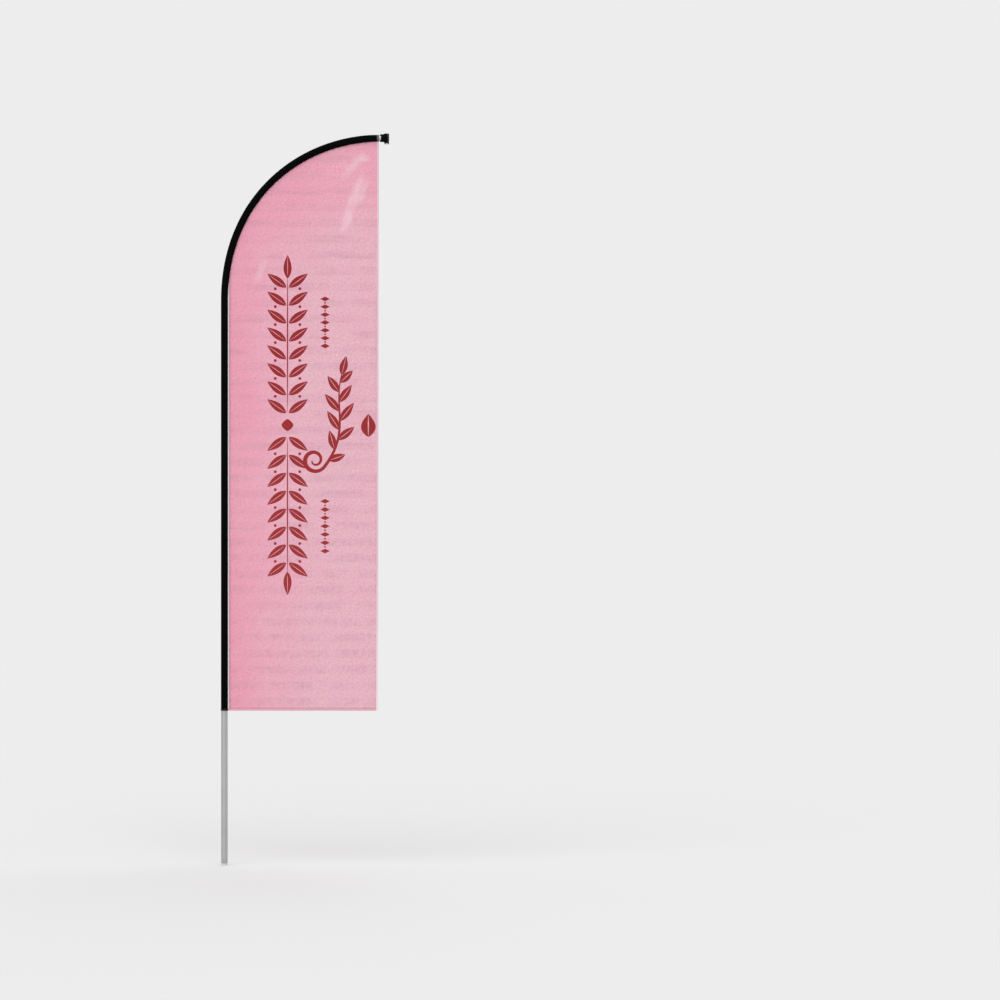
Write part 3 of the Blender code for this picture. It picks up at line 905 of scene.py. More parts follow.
def grown(name, source, tree, values):
    """Runs a tree on a helper mesh and returns the result as a plain mesh."""
    helper = bpy.data.objects.new(f"{name}_helper", source)
    bpy.context.scene.collection.objects.link(helper)
    modifier = helper.modifiers.new(tree.name, "NODES")
    modifier.node_group = tree
    for item in tree.interface.items_tree:
        if item.in_out == "INPUT" and item.name in values:
            modifier[item.identifier] = values[item.name]
    graph = bpy.context.evaluated_depsgraph_get()
    mesh = bpy.data.meshes.new_from_object(
        helper.evaluated_get(graph), preserve_all_data_layers=True, depsgraph=graph
    )
    mesh.name = name
    bpy.data.objects.remove(helper)
    bpy.data.meshes.remove(source)
    return mesh


# %% [markdown]
# The tree needs a line to work on. It is a mesh of edges only, with the radius, the distance
# along the pole, how much the pole bends there and the direction of the flag stored on each
# point. Stations are closer together where the pole bends.

# %% Lines for the tree
TUBE_SIDES = 64
STRAIGHT_STEP = 20 * MM
BEND_STEP = 4 * MM


def stations(start, end):
    """Distances from start to end, closer together on the bend."""
    straight = np.arange(start, min(end, 0.0), STRAIGHT_STEP)
    bent = np.arange(max(start, 0.0), end, BEND_STEP)
    return np.unique(np.concatenate([straight, bent, [end]]).round(6))


def guide_line(name, distances, radii):
    """A line mesh along the pole with what the tube tree reads from it."""
    point, direction = centre_line(distances)
    bent = np.interp(distances, [0.0, 0.1, BEND_LENGTH - 0.1, BEND_LENGTH], [0, 1, 1, 0])
    mesh = bpy.data.meshes.new(name)
    edges = [(i, i + 1) for i in range(len(distances) - 1)]
    mesh.from_pydata([(x, 0.0, z) for x, z in point], edges, [])
    for label, values in {"radius": radii, "along": distances, "bent": bent}.items():
        stored = mesh.attributes.new(label, "FLOAT", "POINT")
        stored.data.foreach_set("value", np.asarray(values, np.float32))
    flagward = np.zeros((len(distances), 3), np.float32)
    flagward[:, 0], flagward[:, 2] = direction[:, 1], -direction[:, 0]
    stored = mesh.attributes.new("flagward", "FLOAT_VECTOR", "POINT")
    stored.data.foreach_set("vector", flagward.ravel())
    return mesh


def tube_piece(name, distances, radii, wall, body, look, node, pucker=(0.0, 1.0)):
    """A tube along the pole. wall is its thickness, inwards from the radii."""
    depth, pitch = pucker
    values = {"Sides": TUBE_SIDES, "Pucker depth": depth, "Pucker pitch": pitch, "Look": look}
    line = guide_line(f"{name}_line", distances, radii)
    mesh = grown(name, line, TUBE_TREE, values)
    mesh.materials.clear()
    piece = add_piece(mesh, body, [look], [node])
    thicken(piece, "wall", wall, -1.0)
    return piece


# %% [markdown]
# ### Pole tubes
#
# The bottom tube is what shows below the flag. Its sawn ends are deburred, so the radius drops
# over the last half millimetre. The bent top tube only shows as a bright ring between the sleeve
# and the cap. The middle tube never shows, and keeps its CAD mesh.

# %% Bottom and top tubes
DEBURR = 0.5 * MM
BOTTOM_WALL = 1.5 * MM
TOP_WALL = 1.0 * MM


def deburred(start, end, radius):
    """Stations of a sawn tube, with the radii that its broken edges give it."""
    places = stations(start + DEBURR, end - DEBURR)
    places = np.concatenate([[start], places, [end]])
    radii = np.full(len(places), radius)
    radii[[0, -1]] -= DEBURR / 2
    return places, radii


tube_low, tube_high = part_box("bottom_tube")
places, radii = deburred(tube_low.z - BEND_START, tube_high.z - BEND_START, POLE_RADIUS)
tube_piece(
    "bottom_tube_drawn", places, radii, BOTTOM_WALL, "pole_lower", ALUMINIUM_TUBE,
    "bottom_tube",
)

top_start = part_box("top_tube")[0].z - BEND_START
top_end = BEND_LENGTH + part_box("top_tube")[1].x - CAP_MOUTH
places, radii = deburred(top_start, top_end, TOP_RADIUS)
tube_piece(
    "top_tube_drawn", places, radii, TOP_WALL, "flag_and_top", ALUMINIUM_TUBE,
    "top_tube",
)

# %% [markdown]
# ### The sleeve
#
# The sleeve is one strip of oxford cloth folded round the pole. It starts above the mouth's
# binding and narrows onto the tube over the last 30 mm before the tip's binding. Puckers 0.5 mm
# high and 9 mm apart run round the inside of the bend.

# %% Pole sleeve and tip binding
SLEEVE_WALL = 0.4 * MM
TIP_TAPER = 30 * MM
SLEEVE_GAP = 0.3 * MM
PUCKER = (0.5 * MM, 9 * MM)
binding_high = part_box("sleeve_tip_binding")[1]
BINDING_WIDTH = 7.3 * MM
BINDING_END = BEND_LENGTH - (CAP_MOUTH - binding_high.x)
BINDING_START = BINDING_END - BINDING_WIDTH
SLEEVE_END = BINDING_START - SLEEVE_GAP
TIP_SLEEVE_RADIUS = TOP_RADIUS + SLEEVE_GAP + SLEEVE_WALL


def sleeve_radius(distance):
    """The sleeve's outer radius, which closes on the tube near the tip."""
    ends = [SLEEVE_END - TIP_TAPER, SLEEVE_END]
    return np.interp(distance, ends, [SLEEVE_RADIUS, TIP_SLEEVE_RADIUS])


def rolled_edges(count, height):
    """How far each ring of a binding stands out: its two edges are rolled in."""
    return height * np.sin(np.linspace(0, math.pi, count)) ** 0.3


places = stations(SLEEVE_START, SLEEVE_END)
sleeve = tube_piece(
    "pole_sleeve_oxford", places, sleeve_radius(places), SLEEVE_WALL, "flag_and_top",
    SLEEVE_CLOTH, "pole_sleeve", pucker=PUCKER,
)

TIP_RINGS = 25
places = np.linspace(BINDING_START, BINDING_END, TIP_RINGS)
rolled = rolled_edges(TIP_RINGS, 0.15 * MM)
tip_binding = tube_piece(
    "sleeve_tip_binding_tape", places, TIP_SLEEVE_RADIUS + rolled, SLEEVE_WALL,
    "flag_and_top", TIP_TAPE, "sleeve_tip_binding",
)

# %% [markdown]
# ### The sleeve's mouth
#
# The mouth has a folded binding round it, and inside that a ribbed elastic band that grips the
# pole and stops the flag riding up. The band's ribs are knitted in, so they are real geometry:
# every second point of each ring stands a little further out.

# %% Mouth binding and elastic
mouth_low, mouth_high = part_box("sleeve_mouth_binding")
MOUTH_RINGS = 13
places = np.linspace(mouth_low.z, mouth_high.z, MOUTH_RINGS) - BEND_START
rolled = rolled_edges(MOUTH_RINGS, 0.12 * MM)
mouth_binding = tube_piece(
    "sleeve_mouth_binding_tape", places, mouth_high.y + rolled, SLEEVE_WALL,
    "flag_and_top", MOUTH_TAPE, "sleeve_mouth_binding",
)

RIBS = 60
RIB_DEPTH = 0.12 * MM
elastic_low, elastic_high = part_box("mouth_elastic")
ELASTIC_WALL = 0.3 * MM
angles = np.arange(2 * RIBS) * math.pi / RIBS
ribbed = elastic_high.y - RIB_DEPTH * (np.arange(2 * RIBS) % 2)
inside = np.full(2 * RIBS, elastic_high.y - ELASTIC_WALL)
elastic_rings = [
    [(r * math.cos(a), r * math.sin(a), height) for r, a in zip(radii, angles)]
    for radii, height in (
        (ribbed, elastic_low.z),
        (ribbed, elastic_high.z),
        (inside, elastic_high.z),
        (inside, elastic_low.z),
    )
]
elastic = add_piece(
    mesh_from("mouth_elastic_knitted", *joined_rings(np.array(elastic_rings), True)),
    "flag_and_top",
    [ELASTIC],
    ["mouth_elastic"],
)

# %% [markdown]
# ## The cap
#
# The cap pushes onto the tube's end and keeps the flag from sliding off. It is a turned barrel
# with a flared head and an end disc, plus a flat lug below with an eye for a cord. Booleans join
# the lug to the head and cut the eye and the two notches at the mouth, as the mould does.

# %% Moulded cap
cap_low, cap_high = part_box("tip_cap")
HEAD_RADIUS = cap_high.y
CAP_LENGTH = cap_high.x - CAP_MOUTH
CAP_BORE = TOP_RADIUS + 0.3 * MM
CAP_BARREL = CAP_BORE + 2.7 * MM
CAP_DEPTH = 21 * MM
FLARE = (11 * MM, 18.5 * MM)
RIM_LENGTH = 7.6 * MM
RIM_GROOVE = 0.8 * MM
LUG_LENGTH = 17 * MM
LUG_THICKNESS = 5 * MM
LUG_INSET = 0.5 * MM
LUG_EDGE = 0.5 * MM
EYE = (8.5 * MM, 2.4 * MM)
EYE_EDGE = 0.8 * MM
NOTCH = (3.6 * MM, 23 * MM)


def cap_body():
    """The turned body, lying along X with its mouth at the tube."""
    groove = CAP_LENGTH - RIM_LENGTH
    profile = [
        (0.0, CAP_DEPTH),
        (CAP_BORE, CAP_DEPTH),
        (CAP_BORE, 0.0),
        (CAP_BARREL, 0.0),
        (CAP_BARREL, FLARE[0]),
        (HEAD_RADIUS, FLARE[1]),
        (HEAD_RADIUS, groove),
        (HEAD_RADIUS - RIM_GROOVE, groove),
        (HEAD_RADIUS - RIM_GROOVE, groove + RIM_GROOVE),
        (HEAD_RADIUS, groove + RIM_GROOVE),
        (HEAD_RADIUS, CAP_LENGTH),
        (0.0, CAP_LENGTH),
    ]
    mesh = turned_mesh("cap_body", broken_edges(profile), on_axis=True)
    mouth = Matrix.Translation((CAP_MOUTH, 0.0, TIP_HEIGHT))
    mesh.transform(mouth @ Matrix.Rotation(math.pi / 2, 4, "Y"))
    return mesh


def rounded_block(name, low, high, radius):
    """A box with its edges rounded."""
    size = Vector(high) - Vector(low)
    centre = (Vector(high) + Vector(low)) / 2
    bm = bmesh.new()
    bmesh.ops.create_cube(bm, matrix=Matrix.Translation(centre) @ Matrix.Diagonal(size).to_4x4())
    if radius:
        bmesh.ops.bevel(
            bm, geom=bm.edges[:], offset=radius, segments=3, profile=0.5, affect="EDGES"
        )
    mesh = bpy.data.meshes.new(name)
    bm.to_mesh(mesh)
    bm.free()
    return mesh


def combined(name, target, operations):
    """Applies Booleans to a mesh, one after another, and returns the result."""
    helpers = [bpy.data.objects.new(name, target)]
    bpy.context.scene.collection.objects.link(helpers[0])
    for operation, tool_mesh in operations:
        tool = bpy.data.objects.new(tool_mesh.name, tool_mesh)
        bpy.context.scene.collection.objects.link(tool)
        helpers.append(tool)
        change = helpers[0].modifiers.new(operation, "BOOLEAN")
        change.operation = operation
        change.object = tool
    graph = bpy.context.evaluated_depsgraph_get()
    mesh = bpy.data.meshes.new_from_object(helpers[0].evaluated_get(graph), depsgraph=graph)
    mesh.name = name
    for helper in helpers:
        bpy.data.objects.remove(helper)
    return mesh


lug_end = cap_high.x - LUG_INSET
lug = rounded_block(
    "cap_lug",
    (lug_end - LUG_LENGTH, -LUG_THICKNESS / 2, cap_low.z),
    (lug_end, LUG_THICKNESS / 2, TIP_HEIGHT - CAP_BARREL),
    LUG_EDGE,
)
eye_middle = Vector((lug_end - LUG_LENGTH / 2, 0.0, (cap_low.z + TIP_HEIGHT - HEAD_RADIUS) / 2))
eye_half = Vector((EYE[0] / 2, LUG_THICKNESS, EYE[1] / 2))
eye = rounded_block("cap_eye", eye_middle - eye_half, eye_middle + eye_half, EYE_EDGE)
notch_half = Vector((NOTCH[0], 2 * HEAD_RADIUS, NOTCH[1] / 2))
mouth_middle = Vector((CAP_MOUTH, 0.0, TIP_HEIGHT))
notch = rounded_block("cap_notch", mouth_middle - notch_half, mouth_middle + notch_half, 0.0)
cap_mesh = combined(
    "tip_cap_moulded",
    cap_body(),
    [("UNION", lug), ("DIFFERENCE", eye), ("DIFFERENCE", notch)],
)
cap_mesh.materials.clear()
add_piece(cap_mesh, "flag_and_top", [CAP_PLASTIC, CAP_RIM_PAINTED_HIGHLIGHT], ["tip_cap"])
# Faces past the groove get the rim's finish, whose paler grey is a painted highlight.
rim_starts = CAP_MOUTH + CAP_LENGTH - RIM_LENGTH + RIM_GROOVE
for face in cap_mesh.polygons:
    face.material_index = int(face.center.x > rim_starts)

# %% [markdown]
# ## How the cloth hangs
#
# The panel is held along the sleeve and free on its other two sides. Near the sleeve it is flat.
# Further out it bellies a little to the front, with slow waves, and a few tight folds run from
# the top corner, where the pull is strongest. `hang` gives the depth of the cloth at any place,
# and every strip that is sewn to the panel uses it too, so that they stay together.

# %% Shape of the hanging cloth
SEAM_BITE = 0.2 * MM  # how far the needle pulls the panel into the sleeve's cloth


def beside_sleeve(distances, gap=-SEAM_BITE):
    """(x, z) points a gap away from the sleeve's surface, on the flag's side."""
    return beside_line(distances, (sleeve_radius(distances) + gap)[:, None])


SEAM_POINTS = beside_sleeve(np.linspace(SLEEVE_START, SLEEVE_END, 260))
hem_low, hem_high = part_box("fly_hem")
HELD_REACH = 0.35  # the cloth hangs freely this far from the seam
BELLY = 6 * MM
BELLY_HEIGHT = 2.2
WAVES = 4 * MM
FLUTTER = 5 * MM
FLUTTER_HEIGHT = 0.30

# Each fold: where it starts and ends (x, z), its width and its height.
FOLDS = (
    ((0.540, 2.665), (0.440, 2.400), 19 * MM, 1.8 * MM),
    ((0.600, 2.690), (0.480, 2.712), 16 * MM, 1.0 * MM),
    ((0.545, 2.735), (0.430, 2.600), 18 * MM, 1.0 * MM),
    ((0.560, 2.640), (0.515, 2.510), 10 * MM, 1.0 * MM),
    ((0.480, 2.705), (0.420, 2.655), 10 * MM, 0.6 * MM),
    ((0.490, 2.480), (0.468, 2.290), 24 * MM, 0.5 * MM),
    ((0.165, 2.335), (0.105, 2.190), 20 * MM, 0.9 * MM),
)
FOLD_FOR_FULL_HIGHLIGHT = 1.2 * MM  # a fold this high gets the full pale painted highlight


def fly_edge(z):
    """x of the panel's free edge. It leans in slightly towards its foot."""
    return np.interp(z, [FLAG_FOOT, hem_high.z], [hem_low.x + HEM_WIDTH, hem_high.x])


def from_seam(points):
    """Distance of (x, z) points from the seam along the sleeve."""
    gaps = np.linalg.norm(points[:, None, :] - SEAM_POINTS[None, :, :], axis=2)
    return gaps.min(axis=1)


def fold_at(points, fold):
    """0 to 1: how near points are to a fold's ridge, fading at its ends."""
    start, end, width, _ = fold
    start, run = np.array(start), np.array(end) - np.array(start)
    length = np.linalg.norm(run)
    share = (points - start) @ run / length**2
    beside = np.abs((points - start) @ np.array([-run[1], run[0]])) / length
    taper = np.clip(np.sin(np.clip(share, 0, 1) * math.pi), 0, 1) ** 0.7
    return np.exp(-((beside / width) ** 2)) * taper


def hang(points):
    """Depth y of the cloth at (x, z) points."""
    x, z = points.T
    free = np.clip(from_seam(points) / HELD_REACH, 0, 1)
    loose = free * free * (3 - 2 * free)
    low = np.exp(-(z - FLAG_FOOT) / FLUTTER_HEIGHT)
    depth = -BELLY * loose * np.sin(np.clip((z - FLAG_FOOT) / BELLY_HEIGHT, 0, 1) * math.pi)
    depth += WAVES * loose * np.sin(9.0 * x + 2.3 * z + 0.6 * np.sin(3.1 * z))
    depth += FLUTTER * low * loose * np.sin(19.0 * x + 0.8)
    for fold in FOLDS:
        depth -= fold[3] * fold_at(points, fold)
    return depth


# %% [markdown]
# ## The print
#
# The print is a laurel column with a curling sprig laid across it, two short rows of lozenges
# and a single leaf. It holds no letters. Each ornament is an outline in the flag's plane. A leaf
# is two half leaves with a thin vein left bare between them, and a stem is a line that swells
# and thins as a brush stroke does.

# %% Outlines of the ornaments
def turned(outline, lean, x, z):
    """An outline turned anticlockwise about the origin, then moved to (x, z)."""
    cos, sin = math.cos(lean), math.sin(lean)
    return outline @ np.array([[cos, sin], [-sin, cos]]) + (x, z)


def leaf(x, z, length, width, lean, vein=2 * MM):
    """Two half leaves that grow from (x, z) in the direction lean."""
    share = np.linspace(0, 1, 25)
    edge = width / 2 * np.sin(share**0.85 * math.pi) ** 0.9
    spine = vein / 2 * np.sin(share * math.pi)
    halves = []
    for side in (-1, 1):
        outer = np.stack([share * length, side * edge], 1)
        inner = np.stack([share * length, side * spine], 1)[-2:0:-1]
        halves.append(turned(np.concatenate([outer, inner]), lean, x, z))
    return halves


def spindle(x, z, length, thick, lean):
    """A bar about (x, z) with pointed ends."""
    share = np.linspace(0, 1, 61)
    half = thick / 2 * np.sin(share * math.pi) ** 0.5
    run = (share - 0.5) * length
    edges = [np.stack([run, half], 1), np.stack([run, -half], 1)[-2:0:-1]]
    return turned(np.concatenate(edges), lean, x, z)


ROUND = 2


def lozenge(x, z, width, height, fullness=1.0):
    """A diamond, with its sides bowed out if fullness is over 1. At ROUND it is an ellipse."""
    angle = np.arange(40) * math.tau / 40
    across, up = np.cos(angle), np.sin(angle)
    power = 2 / fullness
    diamond = [np.sign(across) * np.abs(across) ** power, np.sign(up) * np.abs(up) ** power]
    return np.stack(diamond, 1) * (width / 2, height / 2) + (x, z)


def brush_line(points, widths):
    """The outline of an open line with a width at each point."""
    ahead = np.gradient(points, axis=0)
    ahead /= np.linalg.norm(ahead, axis=1, keepdims=True)
    aside = np.stack([-ahead[:, 1], ahead[:, 0]], 1) * widths[:, None] / 2
    return np.concatenate([points + aside, (points - aside)[::-1]])


# %% [markdown]
# Two laurel sprays grow from a lozenge in the middle of the column, one up and one down. Pairs
# of leaves lean away from it, with berries between them.

# %% Laurel column
COLUMN_X = 0.2415
COLUMN_LOW, COLUMN_HIGH = 1.032, 2.333
LEAF_PAIRS = 8
LEAF_LENGTH, LEAF_WIDTH = 90 * MM, 31 * MM
LEAF_LEAN = math.radians(36)
LEAF_ROOT = 5 * MM  # how far from the middle of the stem a leaf starts
STEM = 5 * MM
BUD = 46 * MM
BERRY = 11 * MM
BERRY_REACH = 47 * MM
UPRIGHT = math.pi / 2

middle_z = (COLUMN_LOW + COLUMN_HIGH) / 2
spray = (COLUMN_HIGH - COLUMN_LOW) / 2
leaf_pitch = (spray - BUD - LEAF_LENGTH) / (LEAF_PAIRS - 0.5)
ornaments = [lozenge(COLUMN_X, middle_z, BUD, BUD, 1.4)]
for grows in (-1, 1):
    stem_length = spray - BUD - 0.8 * LEAF_LENGTH
    stem_middle = middle_z + grows * (BUD + stem_length / 2)
    ornaments.append(spindle(COLUMN_X, stem_middle, stem_length, STEM, UPRIGHT))
    for number in range(LEAF_PAIRS):
        root = middle_z + grows * (BUD + number * leaf_pitch)
        for side in (-1, 1):
            lean = grows * LEAF_LEAN if side > 0 else math.pi - grows * LEAF_LEAN
            ornaments += leaf(
                COLUMN_X + side * LEAF_ROOT, root, LEAF_LENGTH, LEAF_WIDTH, lean
            )
            if number < LEAF_PAIRS - 1:
                berry_z = root + grows * leaf_pitch * 0.93
                ornaments.append(
                    lozenge(COLUMN_X + side * BERRY_REACH, berry_z, BERRY, BERRY, ROUND)
                )
    ornaments += leaf(
        COLUMN_X, middle_z + grows * (spray - LEAF_LENGTH), LEAF_LENGTH, LEAF_WIDTH,
        grows * UPRIGHT,
    )
print(f"{len(ornaments)} outlines in the column")

# %% Lozenge rows and single leaf
ROW_X = 0.385
ROW_COUNT = 7
ROW_LOZENGE = (37 * MM, 18 * MM)
ROW_DOT = 7 * MM
LONE_LEAF = (88 * MM, 56 * MM)
for low, high in ((1.185, 1.407), (1.970, 2.180)):
    row_pitch = (high - low) / ROW_COUNT
    for number in range(ROW_COUNT):
        z = low + (number + 0.5) * row_pitch
        ornaments.append(lozenge(ROW_X, z, *ROW_LOZENGE))
        if number:
            ornaments.append(lozenge(ROW_X, z - row_pitch / 2, ROW_DOT, ROW_DOT, ROUND))

ornaments += leaf(0.5505, 1.681 - LONE_LEAF[0] / 2, *LONE_LEAF, UPRIGHT, vein=4 * MM)

# %% [markdown]
# The sprig starts as a curl, swells as it unwinds, and thins again to its last leaf. Its leaves
# stand to the left and right in turn, each turned from the stem's own direction.

# %% Curling sprig
CURL_MIDDLE = np.array((0.345, 1.548))
CURL_REACH = (9 * MM, 45 * MM)
CURL_TURNS = 1.35
CURL_END = math.radians(-38)
SPRIG_TIP = (0.448, 1.874)
SPRIG_LEAVES = 9
SPRIG_LEAF = (88 * MM, 30 * MM)
SPRIG_LEAN = math.radians(38)

share = np.linspace(0, 1, 110)
angle = CURL_END - (1 - share) * CURL_TURNS * math.tau
reach = CURL_REACH[0] + (CURL_REACH[1] - CURL_REACH[0]) * share**0.8
curl = CURL_MIDDLE + reach[:, None] * np.stack([np.cos(angle), np.sin(angle)], 1)
start, away = curl[-1], np.array([-math.sin(CURL_END), math.cos(CURL_END)])
before_tip = SPRIG_TIP - 0.13 * np.array((0.25, 0.97))
u = np.linspace(0, 1, 90)[1:, None]
a, b, c, d = start, start + 0.17 * away, before_tip, np.array(SPRIG_TIP)
stem = (1 - u) ** 3 * a + 3 * (1 - u) ** 2 * u * b + 3 * (1 - u) * u * u * c + u**3 * d
line = np.concatenate([curl, stem])
swell = np.interp(np.arange(len(line)), [0, 80, 125, len(line) - 1], [5, 17, 10, 4]) * MM
ornaments.append(brush_line(line, swell))

heading = np.gradient(stem, axis=0)
heading = np.arctan2(heading[:, 1], heading[:, 0])
for number in range(SPRIG_LEAVES):
    spot = round((0.06 + 0.86 * number / (SPRIG_LEAVES - 1)) * (len(stem) - 1))
    side = 1 if number % 2 else -1
    size = 0.72 + 0.28 * math.sin(math.pi * (number + 0.5) / SPRIG_LEAVES)
    ornaments += leaf(
        *stem[spot], size * SPRIG_LEAF[0], SPRIG_LEAF[1], heading[spot] + side * SPRIG_LEAN
    )
ornaments += leaf(*stem[-1], SPRIG_LEAF[0] * 0.85, SPRIG_LEAF[1], heading[-1])
print(f"{len(ornaments)} outlines in the print")

# %% [markdown]
# ## The panel
#
# The edge of each ornament has to be sharp, so the outlines become edges of the mesh. A
# constrained Delaunay triangulation does that: it fills the panel with triangles whose edges
# include every outline. A grid of extra points lets the cloth curve. Then each triangle whose
# centre is inside an ornament gets the red material.

# %% Triangulate the panel
GRID = 11 * MM
PANEL_TUCK = 2.5 * MM  # how far the cloth reaches into the hems


def inside(points, outline):
    """Which points lie in an outline, from the edges that a level ray crosses."""
    x, z = points.T
    found = np.zeros(len(points), bool)
    for (xa, za), (xb, zb) in zip(outline, np.roll(outline, -1, axis=0)):
        crosses = (za > z) != (zb > z)
        slope = (xb - xa) / ((zb - za) or 1.0)
        found ^= crosses & (x < xa + (z - za) * slope)
    return found


def panel_outline():
    """The cut of the panel, from its lower corner at the sleeve and round."""
    low = HEM_TOP - PANEL_TUCK
    left = TAPE_EDGE - 1.5 * MM
    seam = beside_sleeve(np.linspace(0.0, SLEEVE_END, 140))
    seam = seam[seam[:, 0] > left]
    seam = seam[seam[:, 0] < fly_edge(seam[:, 1]) - HEM_WIDTH + PANEL_TUCK]
    heights = np.arange(low, seam[-1, 1], GRID)[::-1]
    fly = np.stack([fly_edge(heights) - HEM_WIDTH + PANEL_TUCK, heights], 1)
    foot = np.arange(fly[-1, 0] - GRID, left, -GRID)
    straight = np.arange(low + GRID, seam[0, 1] - GRID / 2, GRID)
    return np.concatenate(
        [
            np.stack([np.full(len(straight), left), straight], 1),
            seam,
            fly,
            np.stack([foot, np.full(len(foot), low)], 1),
            [(left, low)],
        ]
    )


outline = panel_outline()
xs = np.arange(outline[:, 0].min() + GRID, outline[:, 0].max(), GRID)
zs = np.arange(outline[:, 1].min() + GRID, outline[:, 1].max(), GRID)
grid = np.stack(np.meshgrid(xs, zs), -1).reshape(-1, 2)
grid[:, 0] += GRID / 2 * (np.round(grid[:, 1] / GRID) % 2)
grid = grid[inside(grid, outline)]
loops = [outline, *ornaments]
loop_points = np.concatenate(loops)
near_edge = np.zeros(len(grid), bool)
for chunk in np.array_split(np.arange(len(grid)), 40):
    gaps = np.linalg.norm(grid[chunk, None, :] - loop_points[None, :, :], axis=2)
    near_edge[chunk] = gaps.min(axis=1) < GRID / 4
grid = grid[~near_edge]

edges, first = [], 0
for loop in loops:
    numbers = first + np.arange(len(loop))
    edges += list(zip(numbers.tolist(), np.roll(numbers, -1).tolist()))
    first += len(loop)
flat_points = np.concatenate([loop_points, grid])
flat_verts, _, triangles, *_ = geometry.delaunay_2d_cdt(
    [Vector(point) for point in flat_points], edges, [], 0, 1e-6
)
flat_verts = np.array([tuple(vert) for vert in flat_verts])
triangles = np.array(triangles)
middles = flat_verts[triangles].mean(axis=1)
held_in = inside(middles, outline)
triangles, middles = triangles[held_in], middles[held_in]
print(f"{len(triangles)} triangles in the panel")

# %% Colour the ornaments and hang the panel
inked = np.zeros(len(triangles), bool)
for shape in ornaments:
    low, high = shape.min(axis=0), shape.max(axis=0)
    close = np.flatnonzero(((middles >= low) & (middles <= high)).all(axis=1))
    inked[close] |= inside(middles[close], shape)

# The deeper pink beside the sleeve: its share at distances from the seam.
FADE_REACH = (0.0, 0.05, 0.10, 0.15, 0.20, 0.30, 0.42)
FADE_SHARE = (1.0, 0.97, 0.78, 0.55, 0.40, 0.15, 0.0)

# The top of the panel is a deeper pink all the way across.
TOP_FADE_HEIGHT = (2.30, 2.65)
TOP_FADE_SHARE = (0.0, 0.85)
panel_mesh = mesh_from(
    "flag_panel_printed",
    np.stack([flat_verts[:, 0], hang(flat_verts), flat_verts[:, 1]], 1),
    triangles.tolist(),
)
panel_mesh.polygons.foreach_set("material_index", inked.astype(np.int32))
seam_share = np.interp(from_seam(flat_verts), FADE_REACH, FADE_SHARE)
top_share = np.interp(flat_verts[:, 1], TOP_FADE_HEIGHT, TOP_FADE_SHARE)
seam_share = np.maximum(seam_share * (1 - 0.15 * top_share), top_share)
# How strongly the pale painted highlight shows at each point, from the height of the folds there.
creases = sum(fold[3] / FOLD_FOR_FULL_HIGHLIGHT * fold_at(flat_verts, fold) for fold in FOLDS)
fold_highlight_share = np.clip(creases, 0, 1)
for label, values in {"seam": seam_share, "fold_highlight": fold_highlight_share}.items():
    stored = panel_mesh.attributes.new(label, "FLOAT", "POINT")
    stored.data.foreach_set("value", values.astype(np.float32))
shaped = bmesh.new()
shaped.from_mesh(panel_mesh)
bmesh.ops.delete(shaped, geom=[v for v in shaped.verts if not v.link_faces], context="VERTS")
for face in shaped.faces:
    if face.normal.y > 0:
        face.normal_flip()
shaped.to_mesh(panel_mesh)
shaped.free()
panel = add_piece(
    panel_mesh, "flag_and_top", [PANEL_PINK, PANEL_RED], ["flag_panel"]
)
thicken(panel, "cloth", CLOTH, 0.0)
x, z = outline.T

# %% [markdown]
# ## Hems and seam tape
#
# Each hem is a strip of cloth folded over the panel's edge and sewn down, so its outer edge is
# round and its inner edge is thin. The seam tape is a flat strip between the sleeve and the
# panel. All three are one cross-section carried along a line, moved to the depth where the cloth
# hangs.

# %% Strips sewn to the panel
def strip_mesh(name, inner, outer, thick, folded):
    """A strip between two lines of (x, z) points. folded rounds its outer edge."""
    across = [0.0, 0.12, 0.3, 0.55, 0.8, 0.93, 0.985]
    half = [0.30, 0.42, 0.5, 0.5, 0.5, 0.44, 0.26] if folded else [0.45] + [0.5] * 6
    section = [(share, -height) for share, height in zip(across, half)]
    section += [(1.0, 0.0)] if folded else []
    section += [(share, height) for share, height in zip(across, half)][::-1]
    rings = []
    for near, far in zip(inner, outer):
        flat = np.array([near + share * (far - near) for share, _ in section])
        depth = hang(flat) + thick * np.array([height for _, height in section])
        rings.append(np.stack([flat[:, 0], depth, flat[:, 1]], 1))
    return faced_outward(mesh_from(name, *joined_rings(np.array(rings), ring_of_rings=False)))


HEM_STEP = 8 * MM
heights = np.linspace(FLAG_FOOT, hem_high.z, round((hem_high.z - FLAG_FOOT) / HEM_STEP))
outer_line = np.stack([fly_edge(heights), heights], 1)
fly_hem = add_piece(
    strip_mesh("fly_hem_folded", outer_line - (HEM_WIDTH, 0), outer_line, HEM_THICKNESS, True),
    "flag_and_top",
    [FLY_TAPE],
    ["fly_hem"],
)

CORNER_GAP = 0.1 * MM  # between the two hems
FOOT_POINTS = 72
foot_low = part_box("bottom_hem")[0]
foot_end = fly_edge(FLAG_FOOT) - HEM_WIDTH - CORNER_GAP
reaches = np.linspace(foot_low.x, foot_end, FOOT_POINTS)
foot_line = np.stack([reaches, np.full(len(reaches), FLAG_FOOT)], 1)
bottom_hem = add_piece(
    strip_mesh("bottom_hem_folded", foot_line + (0, HEM_WIDTH), foot_line, HEM_THICKNESS, True),
    "flag_and_top",
    [FOOT_HEM],
    ["bottom_hem"],
)

tape_low, tape_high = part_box("seam_tape")
tape_places = np.linspace(tape_low.z, tape_high.z, 220)
sleeve_side = np.interp(tape_places, SEAM_POINTS[:, 1], SEAM_POINTS[:, 0])
near = np.stack([sleeve_side, tape_places], 1)
far = np.stack([np.full(len(tape_places), TAPE_EDGE), tape_places], 1)
seam_tape = add_piece(
    strip_mesh("seam_tape_cotton", near, far, TAPE_THICKNESS, False),
    "flag_and_top",
    [SEAM_COTTON],
    ["seam_tape"],
)

